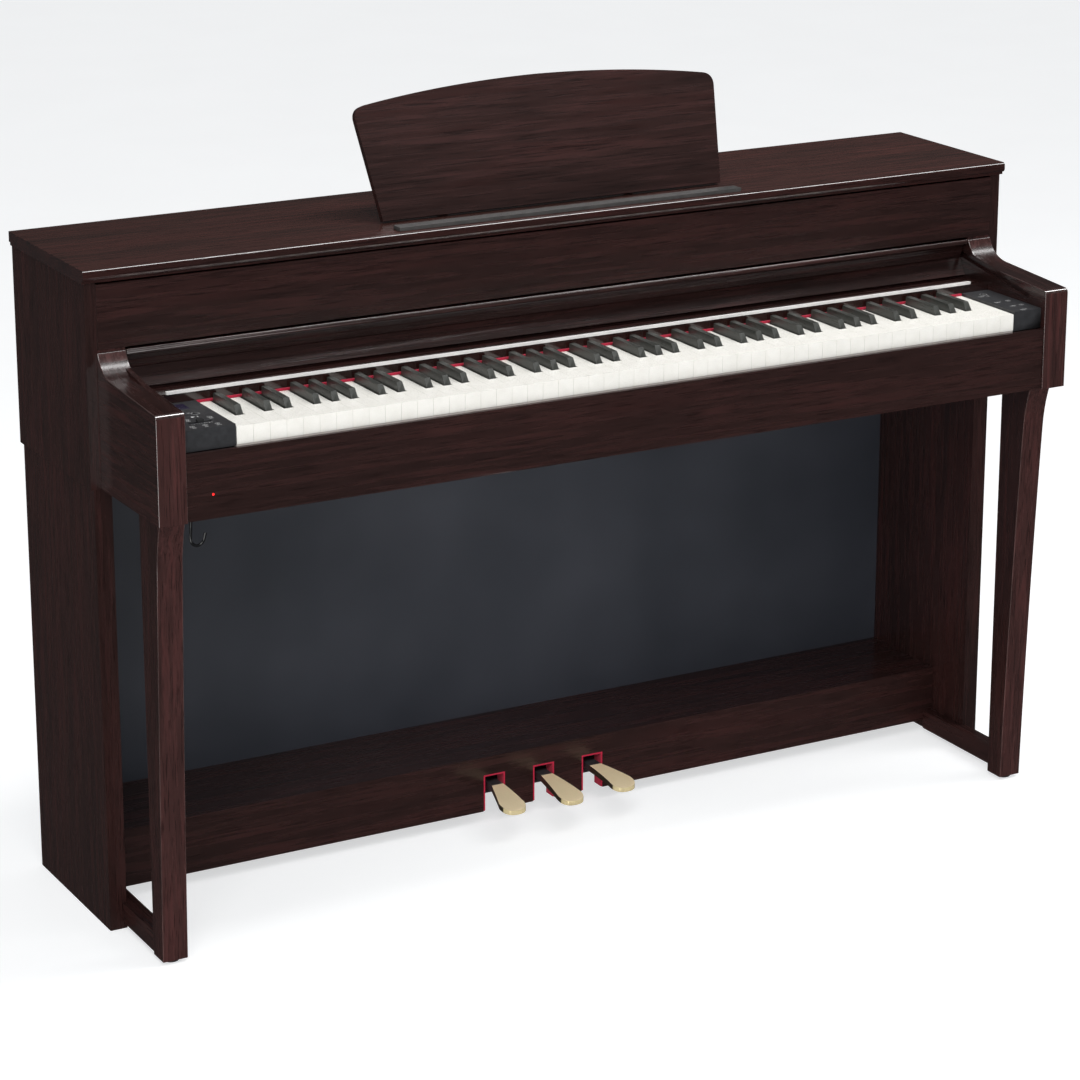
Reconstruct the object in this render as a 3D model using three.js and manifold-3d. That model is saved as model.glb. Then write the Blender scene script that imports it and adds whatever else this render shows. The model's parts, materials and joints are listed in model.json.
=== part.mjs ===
// A digital piano on its stand, in millimetres, +Z up. The origin is on the floor, under the middle of
// the case. X runs along the keyboard to the player's right, and the player sits on the -Y side.
import * as THREE from "three";
import { mergeVertices } from "three/addons/utils/BufferGeometryUtils.js";
import Module from "manifold-3d";

const wasm = await Module();
wasm.setup();

// ---------------------------------------------------------------- driving dimensions
const GAP = 0.3; // between two pieces that touch
const WIDTH = 1461;
const DEPTH = 459;
const HEIGHT = 927;
const FRONT = -DEPTH / 2;
const REAR = DEPTH / 2;

const topBoard = { thick: 14.4, step: 4, front: -42.5, stepFront: -37, stepRear: 225, nose: 5 };
const CASE_TOP = HEIGHT - topBoard.thick - topBoard.step;
const CASE_FLOOR = 629.5; // underside of the keyboard case
const upperSide = { inner: 711.2, outer: 727.2, front: -34.3, rear: 228 };
const upperPanel = { front: -36, thick: 18, bottom: 818.6, reveal: 3 };
const upperBack = { front: 208, thick: 8, bottom: CASE_FLOOR };
const lowerSide = { inner: 697.4, outer: 722.3, front: -32.3, rear: 227.9 };
const lowerBack = { front: 213.3, thick: 9, bottom: 22.2 };

const arm = {
  inner: 672.6,
  outer: 712.5,
  rear: -34.6,
  shoulder: 815.6,
  sweep: -86,
  slopeTop: 785,
  noseTop: 776.9,
  nose: 8,
};
const armTail = { outer: 710.9, rear: 207.7, top: 845, panelClear: -17.5, panelTop: 818.3 };
const leg = { inner: 667.6, outer: 703.6, rear: -140, foot: 5, toe: -172.4 };
const toeRail = { inner: 681, outer: 703, bottom: 9, top: 38 };
const glideRadius = 11;

const keyBed = { front: -209, bottom: 631, top: 650 };
const frontRail = { face: -227.4, bottom: 630.8, shoulder: 700, top: 720.1, lip: 5.4, thick: 18 };
const keySpan = { left: -598.5, pitch: 23.5, whites: 52 };
const whiteKey = { front: -220, head: -172, rear: 20, bottom: 722, top: 746, slack: 1 };
const blackKey = { front: -171, rear: -94.5, top: 757.5, stick: 734, stickTop: 742, base: 10.6, crown: 8.6 };
const keyPivot = { y: 10, z: 722, ridge: 5 };
const keyFrame = { front: -205, rear: 44, deck: 664, stopFront: -184, stopRear: -160, stopTop: 704 };
const SINGLE_WHITES = 5; // the lowest keys, A0 to E1, are separate hinged pieces

const cheek = { front: -220.3, rear: -90.4, waist: 721, top: 749.7, inset: 11.5 };
const fallboard = { face: -90, rear: -5, bottom: 748.9, ledge: 755, brow: 760.6, crest: 784.8 };
const trimStrip = { front: -91, rear: -86, bottom: 761.8, top: 765.6, half: 640 };

const cover = { y: -14, z: 786.2, slope: 9.5, thick: 9.5, length: 180, half: 671.3, pinRadius: 4 };
const guide = { inner: 672.9, outer: 679.9, web: 1.7, below: 4, above: 13.5, front: -182, rear: 190 };

const musicRest = { x: 4, y: 24, z: 931, lean: 20, thick: 9, foot: 270.5, head: 288, side: 158, apex: 182 };
const stay = { x: 150, up: 65, length: 70.6, width: 16, thick: 4, fold: 130, pocket: 5 };

const pedalBox = { face: 50.1, thick: 17.9, bottom: 22.2, top: 107, shelf: 15 };
const pedalSlot = { half: 18, top: 79, felt: 2.4 };
const pedals = [
  { name: "left_pedal", x: -84, splay: -9, tip: -40 },
  { name: "centre_pedal", x: -1.5, splay: 0, tip: -48 },
  { name: "right_pedal", x: 81, splay: 9, tip: -40 },
];
const pedalTongue = { neck: 9.5, neckEnd: 41, half: 18.5, round: 24 };
const leverFront = 58;
const pedalPivot = { y: 150, z: 59, shaft: 4, hole: 4.5, boss: 10 };

const speakers = { x: 470, y: 130, radius: 75, opening: 62 };
const powerInlet = { x: 560, z: 672, half: 19, rise: 12 };
const powerLamp = { x: -636, z: 663, radius: 1.6, depth: 7 };

// ---------------------------------------------------------------- materials
function finish(color, roughness, metalness = 0) {
  return () => new THREE.MeshStandardMaterial({ color, roughness, metalness });
}
const rosewood = finish(0x34231f, 0.45);
const darkPanel = finish(0x23262b, 0.6);
const blackPlastic = finish(0x1b1b1d, 0.5);
const keyIvory = finish(0xf3f1ea, 0.3);
const keyEbony = finish(0x17181a, 0.25);
const redFelt = finish(0xb5123c, 0.95);
const brass = finish(0xc9b27a, 0.3, 1);
const trimMetal = finish(0xd8cfc8, 0.25, 1);
const steel = finish(0x9a9da1, 0.4, 1);
const rubber = finish(0x222222, 0.9);
const glass = finish(0x2a2a55, 0.1);
const circuit = finish(0x1f4a33, 0.6);
const redLens = finish(0xd01515, 0.3);

// ---------------------------------------------------------------- geometry helpers
function shapeOf(outline) {
  if (!Array.isArray(outline)) return outline;
  return new THREE.Shape(outline.map(([a, b]) => new THREE.Vector2(a, b)));
}

function extruded(outline, length, curveSegments = 8) {
  return new THREE.ExtrudeGeometry(shapeOf(outline), { depth: length, bevelEnabled: false, curveSegments });
}

// An outline drawn in (y, z), run along X from x0 to x1.
function prismX(outline, x0, x1, curveSegments) {
  const toWorld = new THREE.Matrix4().makeBasis(
    new THREE.Vector3(0, 1, 0),
    new THREE.Vector3(0, 0, 1),
    new THREE.Vector3(1, 0, 0),
  );
  return extruded(outline, x1 - x0, curveSegments).applyMatrix4(toWorld).translate(x0, 0, 0);
}

// An outline drawn in (x, z), run along Y from y0 to y1.
function prismY(outline, y0, y1, curveSegments) {
  return extruded(outline, y1 - y0, curveSegments).rotateX(Math.PI / 2).translate(0, y1, 0);
}

// An outline drawn in (x, y), run upwards from z0 to z1.
function prismZ(outline, z0, z1, curveSegments) {
  return extruded(outline, z1 - z0, curveSegments).translate(0, 0, z0);
}

function box([x0, x1], [y0, y1], [z0, z1]) {
  const block = new THREE.BoxGeometry(x1 - x0, y1 - y0, z1 - z0);
  return block.translate((x0 + x1) / 2, (y0 + y1) / 2, (z0 + z1) / 2);
}

function rodX(radius, [x0, x1], y, z, sides = 20) {
  return new THREE.CylinderGeometry(radius, radius, x1 - x0, sides)
    .rotateZ(Math.PI / 2)
    .translate((x0 + x1) / 2, y, z);
}

function rodY(radius, x, [y0, y1], z, sides = 16) {
  return new THREE.CylinderGeometry(radius, radius, y1 - y0, sides).translate(x, (y0 + y1) / 2, z);
}

function rodZ(radius, x, y, [z0, z1], sides = 20) {
  return new THREE.CylinderGeometry(radius, radius, z1 - z0, sides)
    .rotateX(Math.PI / 2)
    .translate(x, y, (z0 + z1) / 2);
}

function solid(geometry) {
  const bare = geometry.clone();
  bare.deleteAttribute("normal");
  bare.deleteAttribute("uv");
  const merged = mergeVertices(bare, 1e-4);
  const mesh = new wasm.Mesh({
    numProp: 3,
    vertProperties: new Float32Array(merged.attributes.position.array),
    triVerts: new Uint32Array(merged.index.array),
  });
  return new wasm.Manifold(mesh);
}

function geometryOf(body) {
  const mesh = body.getMesh();
  const geometry = new THREE.BufferGeometry();
  geometry.setAttribute("position", new THREE.BufferAttribute(mesh.vertProperties, 3));
  geometry.setIndex(new THREE.BufferAttribute(mesh.triVerts, 1));
  geometry.computeVertexNormals();
  return geometry;
}

function join(first, ...rest) {
  return geometryOf(rest.reduce((body, piece) => body.add(solid(piece)), solid(first)));
}

function cut(first, ...tools) {
  return geometryOf(tools.reduce((body, tool) => body.subtract(solid(tool)), solid(first)));
}

function common(first, second) {
  return geometryOf(solid(first).intersect(solid(second)));
}

const piano = new THREE.Group();

function add(name, geometry, material, parent = piano) {
  const mesh = new THREE.Mesh(geometry, material());
  mesh.name = name;
  parent.add(mesh);
  return mesh;
}

// The x range from inner to outer on the left (side -1) or the right (side 1).
function span(side, inner, outer) {
  return side < 0 ? [-outer, -inner] : [inner, outer];
}

const sides = [
  ["left", -1],
  ["right", 1],
];

// A point s back along the key cover's slope and t square above it, as (y, z).
const slope = THREE.MathUtils.degToRad(cover.slope);
function onSlope(s, t) {
  const y = cover.y + s * Math.cos(slope) - t * Math.sin(slope);
  const z = cover.z + s * Math.sin(slope) + t * Math.cos(slope);
  return [y, z];
}

function slopeBlock(s0, s1, t0, t1, [x0, x1]) {
  return prismX([onSlope(s0, t0), onSlope(s1, t0), onSlope(s1, t1), onSlope(s0, t1)], x0, x1);
}

// ---------------------------------------------------------------- upper case
function addTopBoard() {
  const { thick, step, front, stepFront, stepRear, nose } = topBoard;
  const under = HEIGHT - thick;
  const outline = new THREE.Shape();
  outline.moveTo(REAR, HEIGHT);
  outline.lineTo(front + nose, HEIGHT);
  outline.absarc(front + nose, HEIGHT - nose, nose, Math.PI / 2, Math.PI, false);
  outline.absarc(front + nose, under + nose, nose, Math.PI, 1.5 * Math.PI, false);
  outline.lineTo(stepFront, under);
  outline.lineTo(stepFront, under - step);
  outline.lineTo(stepRear, under - step);
  outline.lineTo(stepRear, under);
  outline.lineTo(REAR, under);
  add("top_board", prismX(outline, -WIDTH / 2, WIDTH / 2, 8), rosewood);
}

function addUpperCase() {
  const half = upperSide.inner - GAP;
  const { front, thick, bottom, reveal } = upperPanel;
  const panel = box([-half, half], [front, front + thick], [bottom, CASE_TOP - reveal]);
  add("upper_front_panel", panel, rosewood);
  const inlet = powerInlet;
  const backY = [upperBack.front, upperBack.front + upperBack.thick];
  const back = box([-half, half], backY, [upperBack.bottom, CASE_TOP - GAP]);
  const hole = box(
    [inlet.x - inlet.half, inlet.x + inlet.half],
    [upperBack.front - 1, upperBack.front + upperBack.thick + 1],
    [inlet.z - inlet.rise, inlet.z + inlet.rise],
  );
  add("upper_back_panel", cut(back, hole), darkPanel);
  for (const [side, sign] of sides) {
    const x = span(sign, upperSide.inner, upperSide.outer);
    const board = box(x, [upperSide.front, upperSide.rear], [CASE_FLOOR, CASE_TOP - GAP]);
    add(side + "_upper_side", board, rosewood);
  }
}

// The side silhouette of an arm: a flat slope that ends in a rounded nose, and a swept shoulder behind.
function armOutline() {
  const { rear, shoulder, sweep, slopeTop, noseTop, nose } = arm;
  const outline = new THREE.Shape();
  outline.moveTo(rear, CASE_FLOOR);
  outline.lineTo(rear, shoulder);
  outline.bezierCurveTo(rear - 5, shoulder, rear - 6, slopeTop + 0.5, sweep, slopeTop);
  outline.lineTo(FRONT + nose, noseTop);
  outline.quadraticCurveTo(FRONT, noseTop, FRONT, noseTop - nose);
  outline.lineTo(FRONT, CASE_FLOOR);
  return outline;
}

function addArms() {
  const { rear, top, panelClear, panelTop, outer } = armTail;
  const tail = [
    [arm.rear - 1, CASE_FLOOR],
    [rear, CASE_FLOOR],
    [rear, top],
    [panelClear, top],
    [panelClear, panelTop],
    [arm.rear + GAP, panelTop],
    [arm.rear + GAP, 800],
    [arm.rear - 1, 800],
  ];
  for (const [side, sign] of sides) {
    const nose = prismX(armOutline(), ...span(sign, arm.inner, arm.outer), 20);
    const block = prismX(tail, ...span(sign, arm.inner, outer));
    const room = GAP;
    const pocketX = span(sign, arm.inner - 5, guide.outer + room);
    const pocket = slopeBlock(
      guide.front - room,
      guide.rear + room,
      -guide.below - room,
      guide.above + room,
      pocketX,
    );
    add(side + "_arm", cut(join(nose, block), pocket), rosewood);
  }
}

// ---------------------------------------------------------------- stand
function addStandSides() {
  for (const [side, sign] of sides) {
    const x = span(sign, lowerSide.inner, lowerSide.outer);
    add(side + "_stand_side", box(x, [lowerSide.front, lowerSide.rear], [0, CASE_FLOOR - GAP]), rosewood);
  }
  const half = lowerSide.inner - GAP;
  const y = [lowerBack.front, lowerBack.front + lowerBack.thick];
  add("lower_back_panel", box([-half, half], y, [lowerBack.bottom, CASE_FLOOR - GAP]), darkPanel);
}

function legOutline() {
  const top = CASE_FLOOR - GAP;
  const outline = new THREE.Shape();
  outline.moveTo(leg.rear, top);
  outline.lineTo(-209.5, top);
  outline.quadraticCurveTo(-197.5, 598, -195.3, 560);
  outline.quadraticCurveTo(-180, 300, leg.toe, leg.foot);
  outline.lineTo(leg.rear, leg.foot);
  return outline;
}

function addLegs() {
  const { inner, outer, bottom, top } = toeRail;
  for (const [side, sign] of sides) {
    add(side + "_front_leg", prismX(legOutline(), ...span(sign, leg.inner, leg.outer), 14), rosewood);
    const x = (sign * (leg.inner + leg.outer)) / 2;
    const y = (leg.rear + leg.toe) / 2;
    add(side + "_leg_glide", rodZ(glideRadius, x, y, [0, leg.foot - GAP]), rubber);
    const rail = [
      [sign * inner, leg.rear + GAP],
      [sign * outer, leg.rear + GAP],
      [sign * outer, lowerSide.front - GAP],
      [sign * (lowerSide.inner - GAP), lowerSide.front - GAP],
      [sign * (lowerSide.inner - GAP), pedalBox.face - GAP],
      [sign * inner, pedalBox.face - GAP],
    ];
    add(side + "_toe_rail", prismZ(rail, bottom, top), rosewood);
  }
}

// ---------------------------------------------------------------- pedals
function addPedalBox() {
  const half = lowerSide.inner - GAP;
  const { face, thick, bottom, top, shelf } = pedalBox;
  const outline = [[-half, bottom]];
  for (const { x } of pedals) {
    outline.push([x - pedalSlot.half, bottom], [x - pedalSlot.half, pedalSlot.top]);
    outline.push([x + pedalSlot.half, pedalSlot.top], [x + pedalSlot.half, bottom]);
  }
  outline.push([half, bottom], [half, top], [-half, top]);
  add("pedal_box_front_rail", prismY(outline, face, face + thick), rosewood);
  const shelfY = [face + thick + GAP, lowerBack.front - GAP];
  add("pedal_box_shelf", box([-half, half], shelfY, [top - shelf, top]), rosewood);
}

// One felt strip behind the rail, with a lining that comes forward through each slot.
function addPedalFelt() {
  const outer = pedalSlot.half - GAP;
  const inner = outer - pedalSlot.felt;
  const top = pedalSlot.top - GAP;
  const foot = pedalBox.bottom + 1;
  const back = pedalBox.face + pedalBox.thick + GAP;
  const band = { low: 44, high: 87, thick: 2 };
  const backing = [[pedals[0].x - outer - 8, band.low]];
  const linings = [];
  for (const { x } of pedals) {
    backing.push([x - inner, band.low], [x - inner, top - pedalSlot.felt]);
    backing.push([x + inner, top - pedalSlot.felt], [x + inner, band.low]);
    const lining = [
      [x - outer, foot],
      [x - inner, foot],
      [x - inner, top - pedalSlot.felt],
      [x + inner, top - pedalSlot.felt],
      [x + inner, foot],
      [x + outer, foot],
      [x + outer, top],
      [x - outer, top],
    ];
    linings.push(prismY(lining, pedalBox.face + 0.4, back + band.thick));
  }
  backing.push([pedals[2].x + outer + 8, band.low], [pedals[2].x + outer + 8, band.high]);
  backing.push([pedals[0].x - outer - 8, band.high]);
  add("pedal_slot_felt", join(prismY(backing, back, back + band.thick), ...linings), redFelt);
}

// A pedal seen from above: narrow at the slot, flared and rounded at the tip.
function pedalPlan({ x, splay, tip }) {
  const { neck, neckEnd, half, round } = pedalTongue;
  const mid = x + splay;
  const outline = new THREE.Shape();
  outline.moveTo(x - neck, leverFront + 2);
  outline.lineTo(x - neck, neckEnd);
  outline.lineTo(mid - half, tip + round);
  outline.bezierCurveTo(mid - half - 2, tip + 6, mid - half + 6, tip, mid, tip);
  outline.bezierCurveTo(mid + half - 6, tip, mid + half + 2, tip + 6, mid + half, tip + round);
  outline.lineTo(x + neck, neckEnd);
  outline.lineTo(x + neck, leverFront + 2);
  return outline;
}

// A pedal seen from the side: its top falls gently, then rolls over at the tip.
function pedalSide({ tip }) {
  const rear = leverFront + 2;
  const end = tip - 4;
  const outline = new THREE.Shape();
  outline.moveTo(rear, 65.3);
  outline.quadraticCurveTo(-10, 64, end, 54);
  outline.lineTo(end, 47.5);
  outline.quadraticCurveTo(-10, 55, rear, 55);
  return outline;
}

function addPedals() {
  const { y, z, shaft, hole, boss } = pedalPivot;
  for (const pedal of pedals) {
    const fromAbove = prismZ(pedalPlan(pedal), 30, 80, 12);
    const fromSide = prismX(pedalSide(pedal), pedal.x - 35, pedal.x + 35, 8);
    const tongue = common(fromAbove, fromSide);
    const x = [pedal.x - 9, pedal.x + 9];
    const lever = box(x, [leverFront, y], [z - 7, z + 6.3]);
    const body = join(tongue, lever, rodX(boss, x, y, z, 24));
    add(pedal.name, cut(body, rodX(hole, [x[0] - 1, x[1] + 1], y, z, 24)), brass);
  }
  const edge = 24;
  const plateX = [pedals[0].x - edge, pedals[2].x + edge];
  const pieces = [box(plateX, [96, 196], [30, 34])];
  for (const { x } of pedals) {
    for (const sign of [-1, 1]) {
      const lug = sign < 0 ? [x - 15, x - 10.5] : [x + 10.5, x + 15];
      pieces.push(box(lug, [y - 12, y + 12], [33, 72]));
    }
    pieces.push(rodX(shaft, [x - 14, x + 14], y, z, 24));
  }
  const shelfUnder = pedalBox.top - pedalBox.shelf - GAP;
  pieces.push(box(plateX, [192, 196], [33, shelfUnder]));
  pieces.push(box(plateX, [170, 196], [shelfUnder - 4, shelfUnder]));
  add("pedal_frame", join(...pieces), steel);
}

// ---------------------------------------------------------------- keyboard
function addKeyBed() {
  const half = arm.inner - GAP;
  const bed = box([-half, half], [keyBed.front, armTail.rear], [keyBed.bottom, keyBed.top]);
  const holes = [-1, 1].map((sign) =>
    rodZ(speakers.opening, sign * speakers.x, speakers.y, [keyBed.bottom - 1, keyBed.top + 1], 32),
  );
  add("key_bed", cut(bed, ...holes), rosewood);
  const { face, bottom, shoulder, top, lip, thick } = frontRail;
  const outline = [
    [face, bottom],
    [face + thick, bottom],
    [face + thick, shoulder],
    [face + lip, shoulder],
    [face + lip, top],
    [face, top],
  ];
  const { x, z, radius, depth } = powerLamp;
  const seat = rodY(radius + GAP, x, [face - 1, face + depth + GAP], z);
  add("front_key_rail", cut(prismX(outline, -half, half), seat), rosewood);
  add("power_lamp", rodY(radius, x, [face - 0.3, face + depth], z), redLens);
}

function addKeyboardFrame() {
  const right = keySpan.left + keySpan.whites * keySpan.pitch;
  const floor = keyBed.top + GAP;
  const { front, rear, deck, stopFront, stopRear, stopTop } = keyFrame;
  const { y, z, ridge } = keyPivot;
  const outline = [
    [front, floor],
    [rear, floor],
    [rear, deck],
    [y + ridge, deck],
    [y + ridge, z - GAP],
    [y - ridge, z - GAP],
    [y - ridge, deck],
    [stopRear, deck],
    [stopRear, stopTop],
    [stopFront, stopTop],
    [stopFront, deck],
    [front, deck],
  ];
  add("keyboard_frame", prismX(outline, keySpan.left, right), blackPlastic);
}

// The places of the keys. Each octave splits its rear into equal strips: five strips over C to E, and
// seven over F to B. White tails take the odd strips and black keys take the even ones.
const groups = {
  low: { whites: ["C", "D", "E"], start: 0 },
  high: { whites: ["F", "G", "A", "B"], start: 3 },
};

function keyPlaces() {
  const whites = [];
  const blacks = [];
  for (let octave = 0; octave <= 8; octave += 1) {
    for (const { whites: names, start } of Object.values(groups)) {
      const count = names.length;
      const strip = (count * keySpan.pitch) / (2 * count - 1);
      const first = (octave * 7 + start - 5) * keySpan.pitch + keySpan.left;
      names.forEach((letter, i) => {
        const index = octave * 7 + start + i - 5;
        if (index < 0 || index >= keySpan.whites) return;
        const head = [keySpan.left + index * keySpan.pitch, keySpan.left + (index + 1) * keySpan.pitch];
        const tail = [first + 2 * i * strip, first + (2 * i + 1) * strip];
        if (index === 0) tail[0] = head[0];
        if (index === keySpan.whites - 1) tail[1] = head[1];
        whites.push({ name: letter.toLowerCase() + octave, head, tail });
        const hasBlack = i < count - 1 && index < keySpan.whites - 1;
        const centre = first + (2 * i + 1.5) * strip;
        if (hasBlack) blacks.push({ name: letter.toLowerCase() + "_sharp" + octave, centre });
      });
    }
  }
  return { whites, blacks };
}

function whiteKeyBody({ head, tail }) {
  const half = whiteKey.slack / 2;
  const [h0, h1] = [head[0] + half, head[1] - half];
  const [t0, t1] = [Math.max(tail[0] + half, h0), Math.min(tail[1] - half, h1)];
  const { front, head: neck, rear, bottom, top } = whiteKey;
  const outline = [[h0, front], [h1, front], [h1, neck]];
  if (t1 < h1) outline.push([t1, neck]);
  outline.push([t1, rear], [t0, rear]);
  if (t0 > h0) outline.push([t0, neck], [h0, neck]);
  else outline.push([h0, neck]);
  return prismZ(outline, bottom, top);
}

function blackKeyBody({ centre }) {
  const { front, rear, top, stick, stickTop, base, crown } = blackKey;
  const cap = prismX(
    [
      [front, stick],
      [rear, stick],
      [rear, top],
      [front + 8, top],
      [front, stickTop + 5],
    ],
    centre - base / 2,
    centre + base / 2,
  );
  const taper = prismY(
    [
      [centre - base / 2, stick - 1],
      [centre + base / 2, stick - 1],
      [centre + crown / 2, top + 1],
      [centre - crown / 2, top + 1],
    ],
    front - 1,
    rear + 1,
  );
  const bar = box([centre - 4.5, centre + 4.5], [rear - 5, whiteKey.rear], [stick, stickTop]);
  return join(common(cap, taper), bar);
}

function addKeys() {
  const { whites, blacks } = keyPlaces();
  const single = whites.slice(0, SINGLE_WHITES);
  const bank = whites.slice(SINGLE_WHITES);
  const edge = bank[0].head[0];
  for (const key of single) add("key_" + key.name, whiteKeyBody(key), keyIvory);
  const singleBlacks = blacks.filter(({ centre }) => centre < edge);
  const bankBlacks = blacks.filter(({ centre }) => centre > edge);
  for (const key of singleBlacks) add("key_" + key.name, blackKeyBody(key), keyEbony);
  const right = bank[bank.length - 1].head[1] - 1;
  const whiteBar = box([edge + 1, right], [2, whiteKey.rear], [whiteKey.bottom, 731]);
  add("white_keys", join(whiteBar, ...bank.map(whiteKeyBody)), keyIvory);
  const ends = [bankBlacks[0].centre - 4.5, bankBlacks[bankBlacks.length - 1].centre + 4.5];
  const blackBar = box(ends, [whiteKey.rear + 1, 38], [blackKey.stick, blackKey.stickTop]);
  const sticks = bankBlacks.map(({ centre }) =>
    box([centre - 4.5, centre + 4.5], [whiteKey.rear - 2, 30], [blackKey.stick, blackKey.stickTop]),
  );
  add("black_keys", join(blackBar, ...sticks, ...bankBlacks.map(blackKeyBody)), keyEbony);
}

// ---------------------------------------------------------------- behind the keys
function addFallboard() {
  const half = arm.inner - GAP;
  const { face, rear, bottom, ledge, brow, crest } = fallboard;
  const outline = [
    [face, bottom],
    [rear, bottom],
    [rear, crest],
    [-17.6, crest],
    [-31.7, brow],
    [-26, brow - 3],
    [-26, ledge],
    [trimStrip.rear, ledge],
    [trimStrip.rear, trimStrip.bottom - GAP],
    [face, trimStrip.bottom - GAP],
  ];
  add("fallboard", prismX(outline, -half, half), rosewood);
  const { front, bottom: low, top, half: stripHalf } = trimStrip;
  const strip = box([-stripHalf, stripHalf], [front, trimStrip.rear], [low, top]);
  add("fallboard_trim_strip", strip, trimMetal);
  const right = keySpan.left + keySpan.whites * keySpan.pitch;
  const felt = box([keySpan.left, right], [face - 2.3, face - GAP], [whiteKey.top + 0.5, bottom + 0.7]);
  add("key_felt_strip", felt, redFelt);
}

// ---------------------------------------------------------------- cheek blocks and controls
const buttonRadius = 3.5;
const buttonSeat = 3;
const controls = {
  display: { x: -640, y: -112, half: [19, 13], depth: 1.5 },
  menu: { name: "menu_button", x: -625, y: -150 },
  power: { name: "power_button", x: 648, y: -112 },
  slider: { x: -636, y: -190, travel: 12, half: [9, 3], stem: [3, 1.2] },
};

function cheekBlock(x) {
  const { front, rear, waist, top, inset } = cheek;
  const outline = [
    [front + inset, keyBed.top + GAP],
    [rear, keyBed.top + GAP],
    [rear, top],
    [front, top],
    [front, waist],
    [front + inset, waist],
  ];
  return prismX(outline, ...x);
}

function buttonHole({ x, y }) {
  return rodZ(buttonRadius + 0.5, x, y, [cheek.top - buttonSeat - 1.4, cheek.top + 1]);
}

function addButton({ name, x, y }) {
  add(name, rodZ(buttonRadius, x, y, [cheek.top - buttonSeat, cheek.top + 1.4]), blackPlastic);
}

function addCheeks() {
  const half = arm.inner - GAP;
  const right = keySpan.left + keySpan.whites * keySpan.pitch;
  const { display, menu, power, slider } = controls;
  const top = cheek.top;
  const windowX = [display.x - display.half[0], display.x + display.half[0]];
  const windowY = [display.y - display.half[1], display.y + display.half[1]];
  const windowSeat = box(windowX, windowY, [top - display.depth, top + 1]);
  const slot = box(
    [slider.x - slider.travel - slider.stem[0] - 1, slider.x + slider.travel + slider.stem[0] + 1],
    [slider.y - slider.stem[1] - 0.8, slider.y + slider.stem[1] + 0.8],
    [top - 5, top + 1],
  );
  const leftBlock = cheekBlock([-half, keySpan.left - 1]);
  add("left_cheek_block", cut(leftBlock, windowSeat, slot, buttonHole(menu)), blackPlastic);
  add("right_cheek_block", cut(cheekBlock([right + 1.5, half]), buttonHole(power)), blackPlastic);
  add(
    "display_window",
    box(
      [windowX[0] + GAP, windowX[1] - GAP],
      [windowY[0] + GAP, windowY[1] - GAP],
      [top - display.depth + GAP, top + 0.1],
    ),
    glass,
  );
  const knob = box(
    [slider.x - slider.half[0] / 2, slider.x + slider.half[0] / 2],
    [slider.y - slider.half[1], slider.y + slider.half[1]],
    [top + 0.5, top + 5],
  );
  const stem = box(
    [slider.x - slider.stem[0], slider.x + slider.stem[0]],
    [slider.y - slider.stem[1], slider.y + slider.stem[1]],
    [top - 4, top + 1],
  );
  add("volume_slider", join(knob, stem), blackPlastic);
  for (const button of [menu, power]) addButton(button);
}

// ---------------------------------------------------------------- key cover
function addCover() {
  const { half, thick, length, pinRadius } = cover;
  const board = slopeBlock(0.3, length, 0, thick, [-half, half]);
  const pins = [];
  for (const [, sign] of sides) {
    for (const s of [10, length - 10]) {
      const [y, z] = onSlope(s, thick / 2);
      pins.push(rodX(pinRadius, span(sign, half - 2, guide.outer - guide.web - 1), y, z, 16));
    }
  }
  add("key_cover", join(board, ...pins), rosewood);
  const lip = new THREE.Shape();
  lip.moveTo(-37, 808.5);
  lip.lineTo(-37, 815);
  lip.lineTo(-22, 815);
  lip.lineTo(...onSlope(0, thick + 3));
  lip.lineTo(...onSlope(0, 0.2));
  lip.lineTo(...onSlope(-5, 0.2));
  lip.bezierCurveTo(-23, 792, -23, 806, -37, 808.5);
  add("key_cover_lip", prismX(lip, -half, half, 16), rosewood);
  const { front, rear, below, above } = guide;
  for (const [side, sign] of sides) {
    const rail = slopeBlock(front, rear, -below, above, span(sign, guide.inner, guide.outer));
    const channelX = span(sign, guide.inner - 1, guide.outer - guide.web);
    const channel = slopeBlock(front + 4, rear - 3, 0.25, thick - 0.25, channelX);
    add(side + "_cover_guide", cut(rail, channel), blackPlastic);
  }
}

// ---------------------------------------------------------------- music rest
function musicRestOutline() {
  const { foot, head, side, apex, x } = musicRest;
  const corner = 16;
  const outline = new THREE.Shape();
  outline.moveTo(x - foot, 0);
  outline.lineTo(x + foot, 0);
  outline.lineTo(x + head - 1, side - corner);
  outline.quadraticCurveTo(x + head, side, x + head - corner, side + 3);
  outline.quadraticCurveTo(x + head / 2, apex - 1, x, apex);
  outline.quadraticCurveTo(x - head / 2, apex - 1, x - head + corner, side + 3);
  outline.quadraticCurveTo(x - head, side, x - head + 1, side - corner);
  return outline;
}

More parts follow.
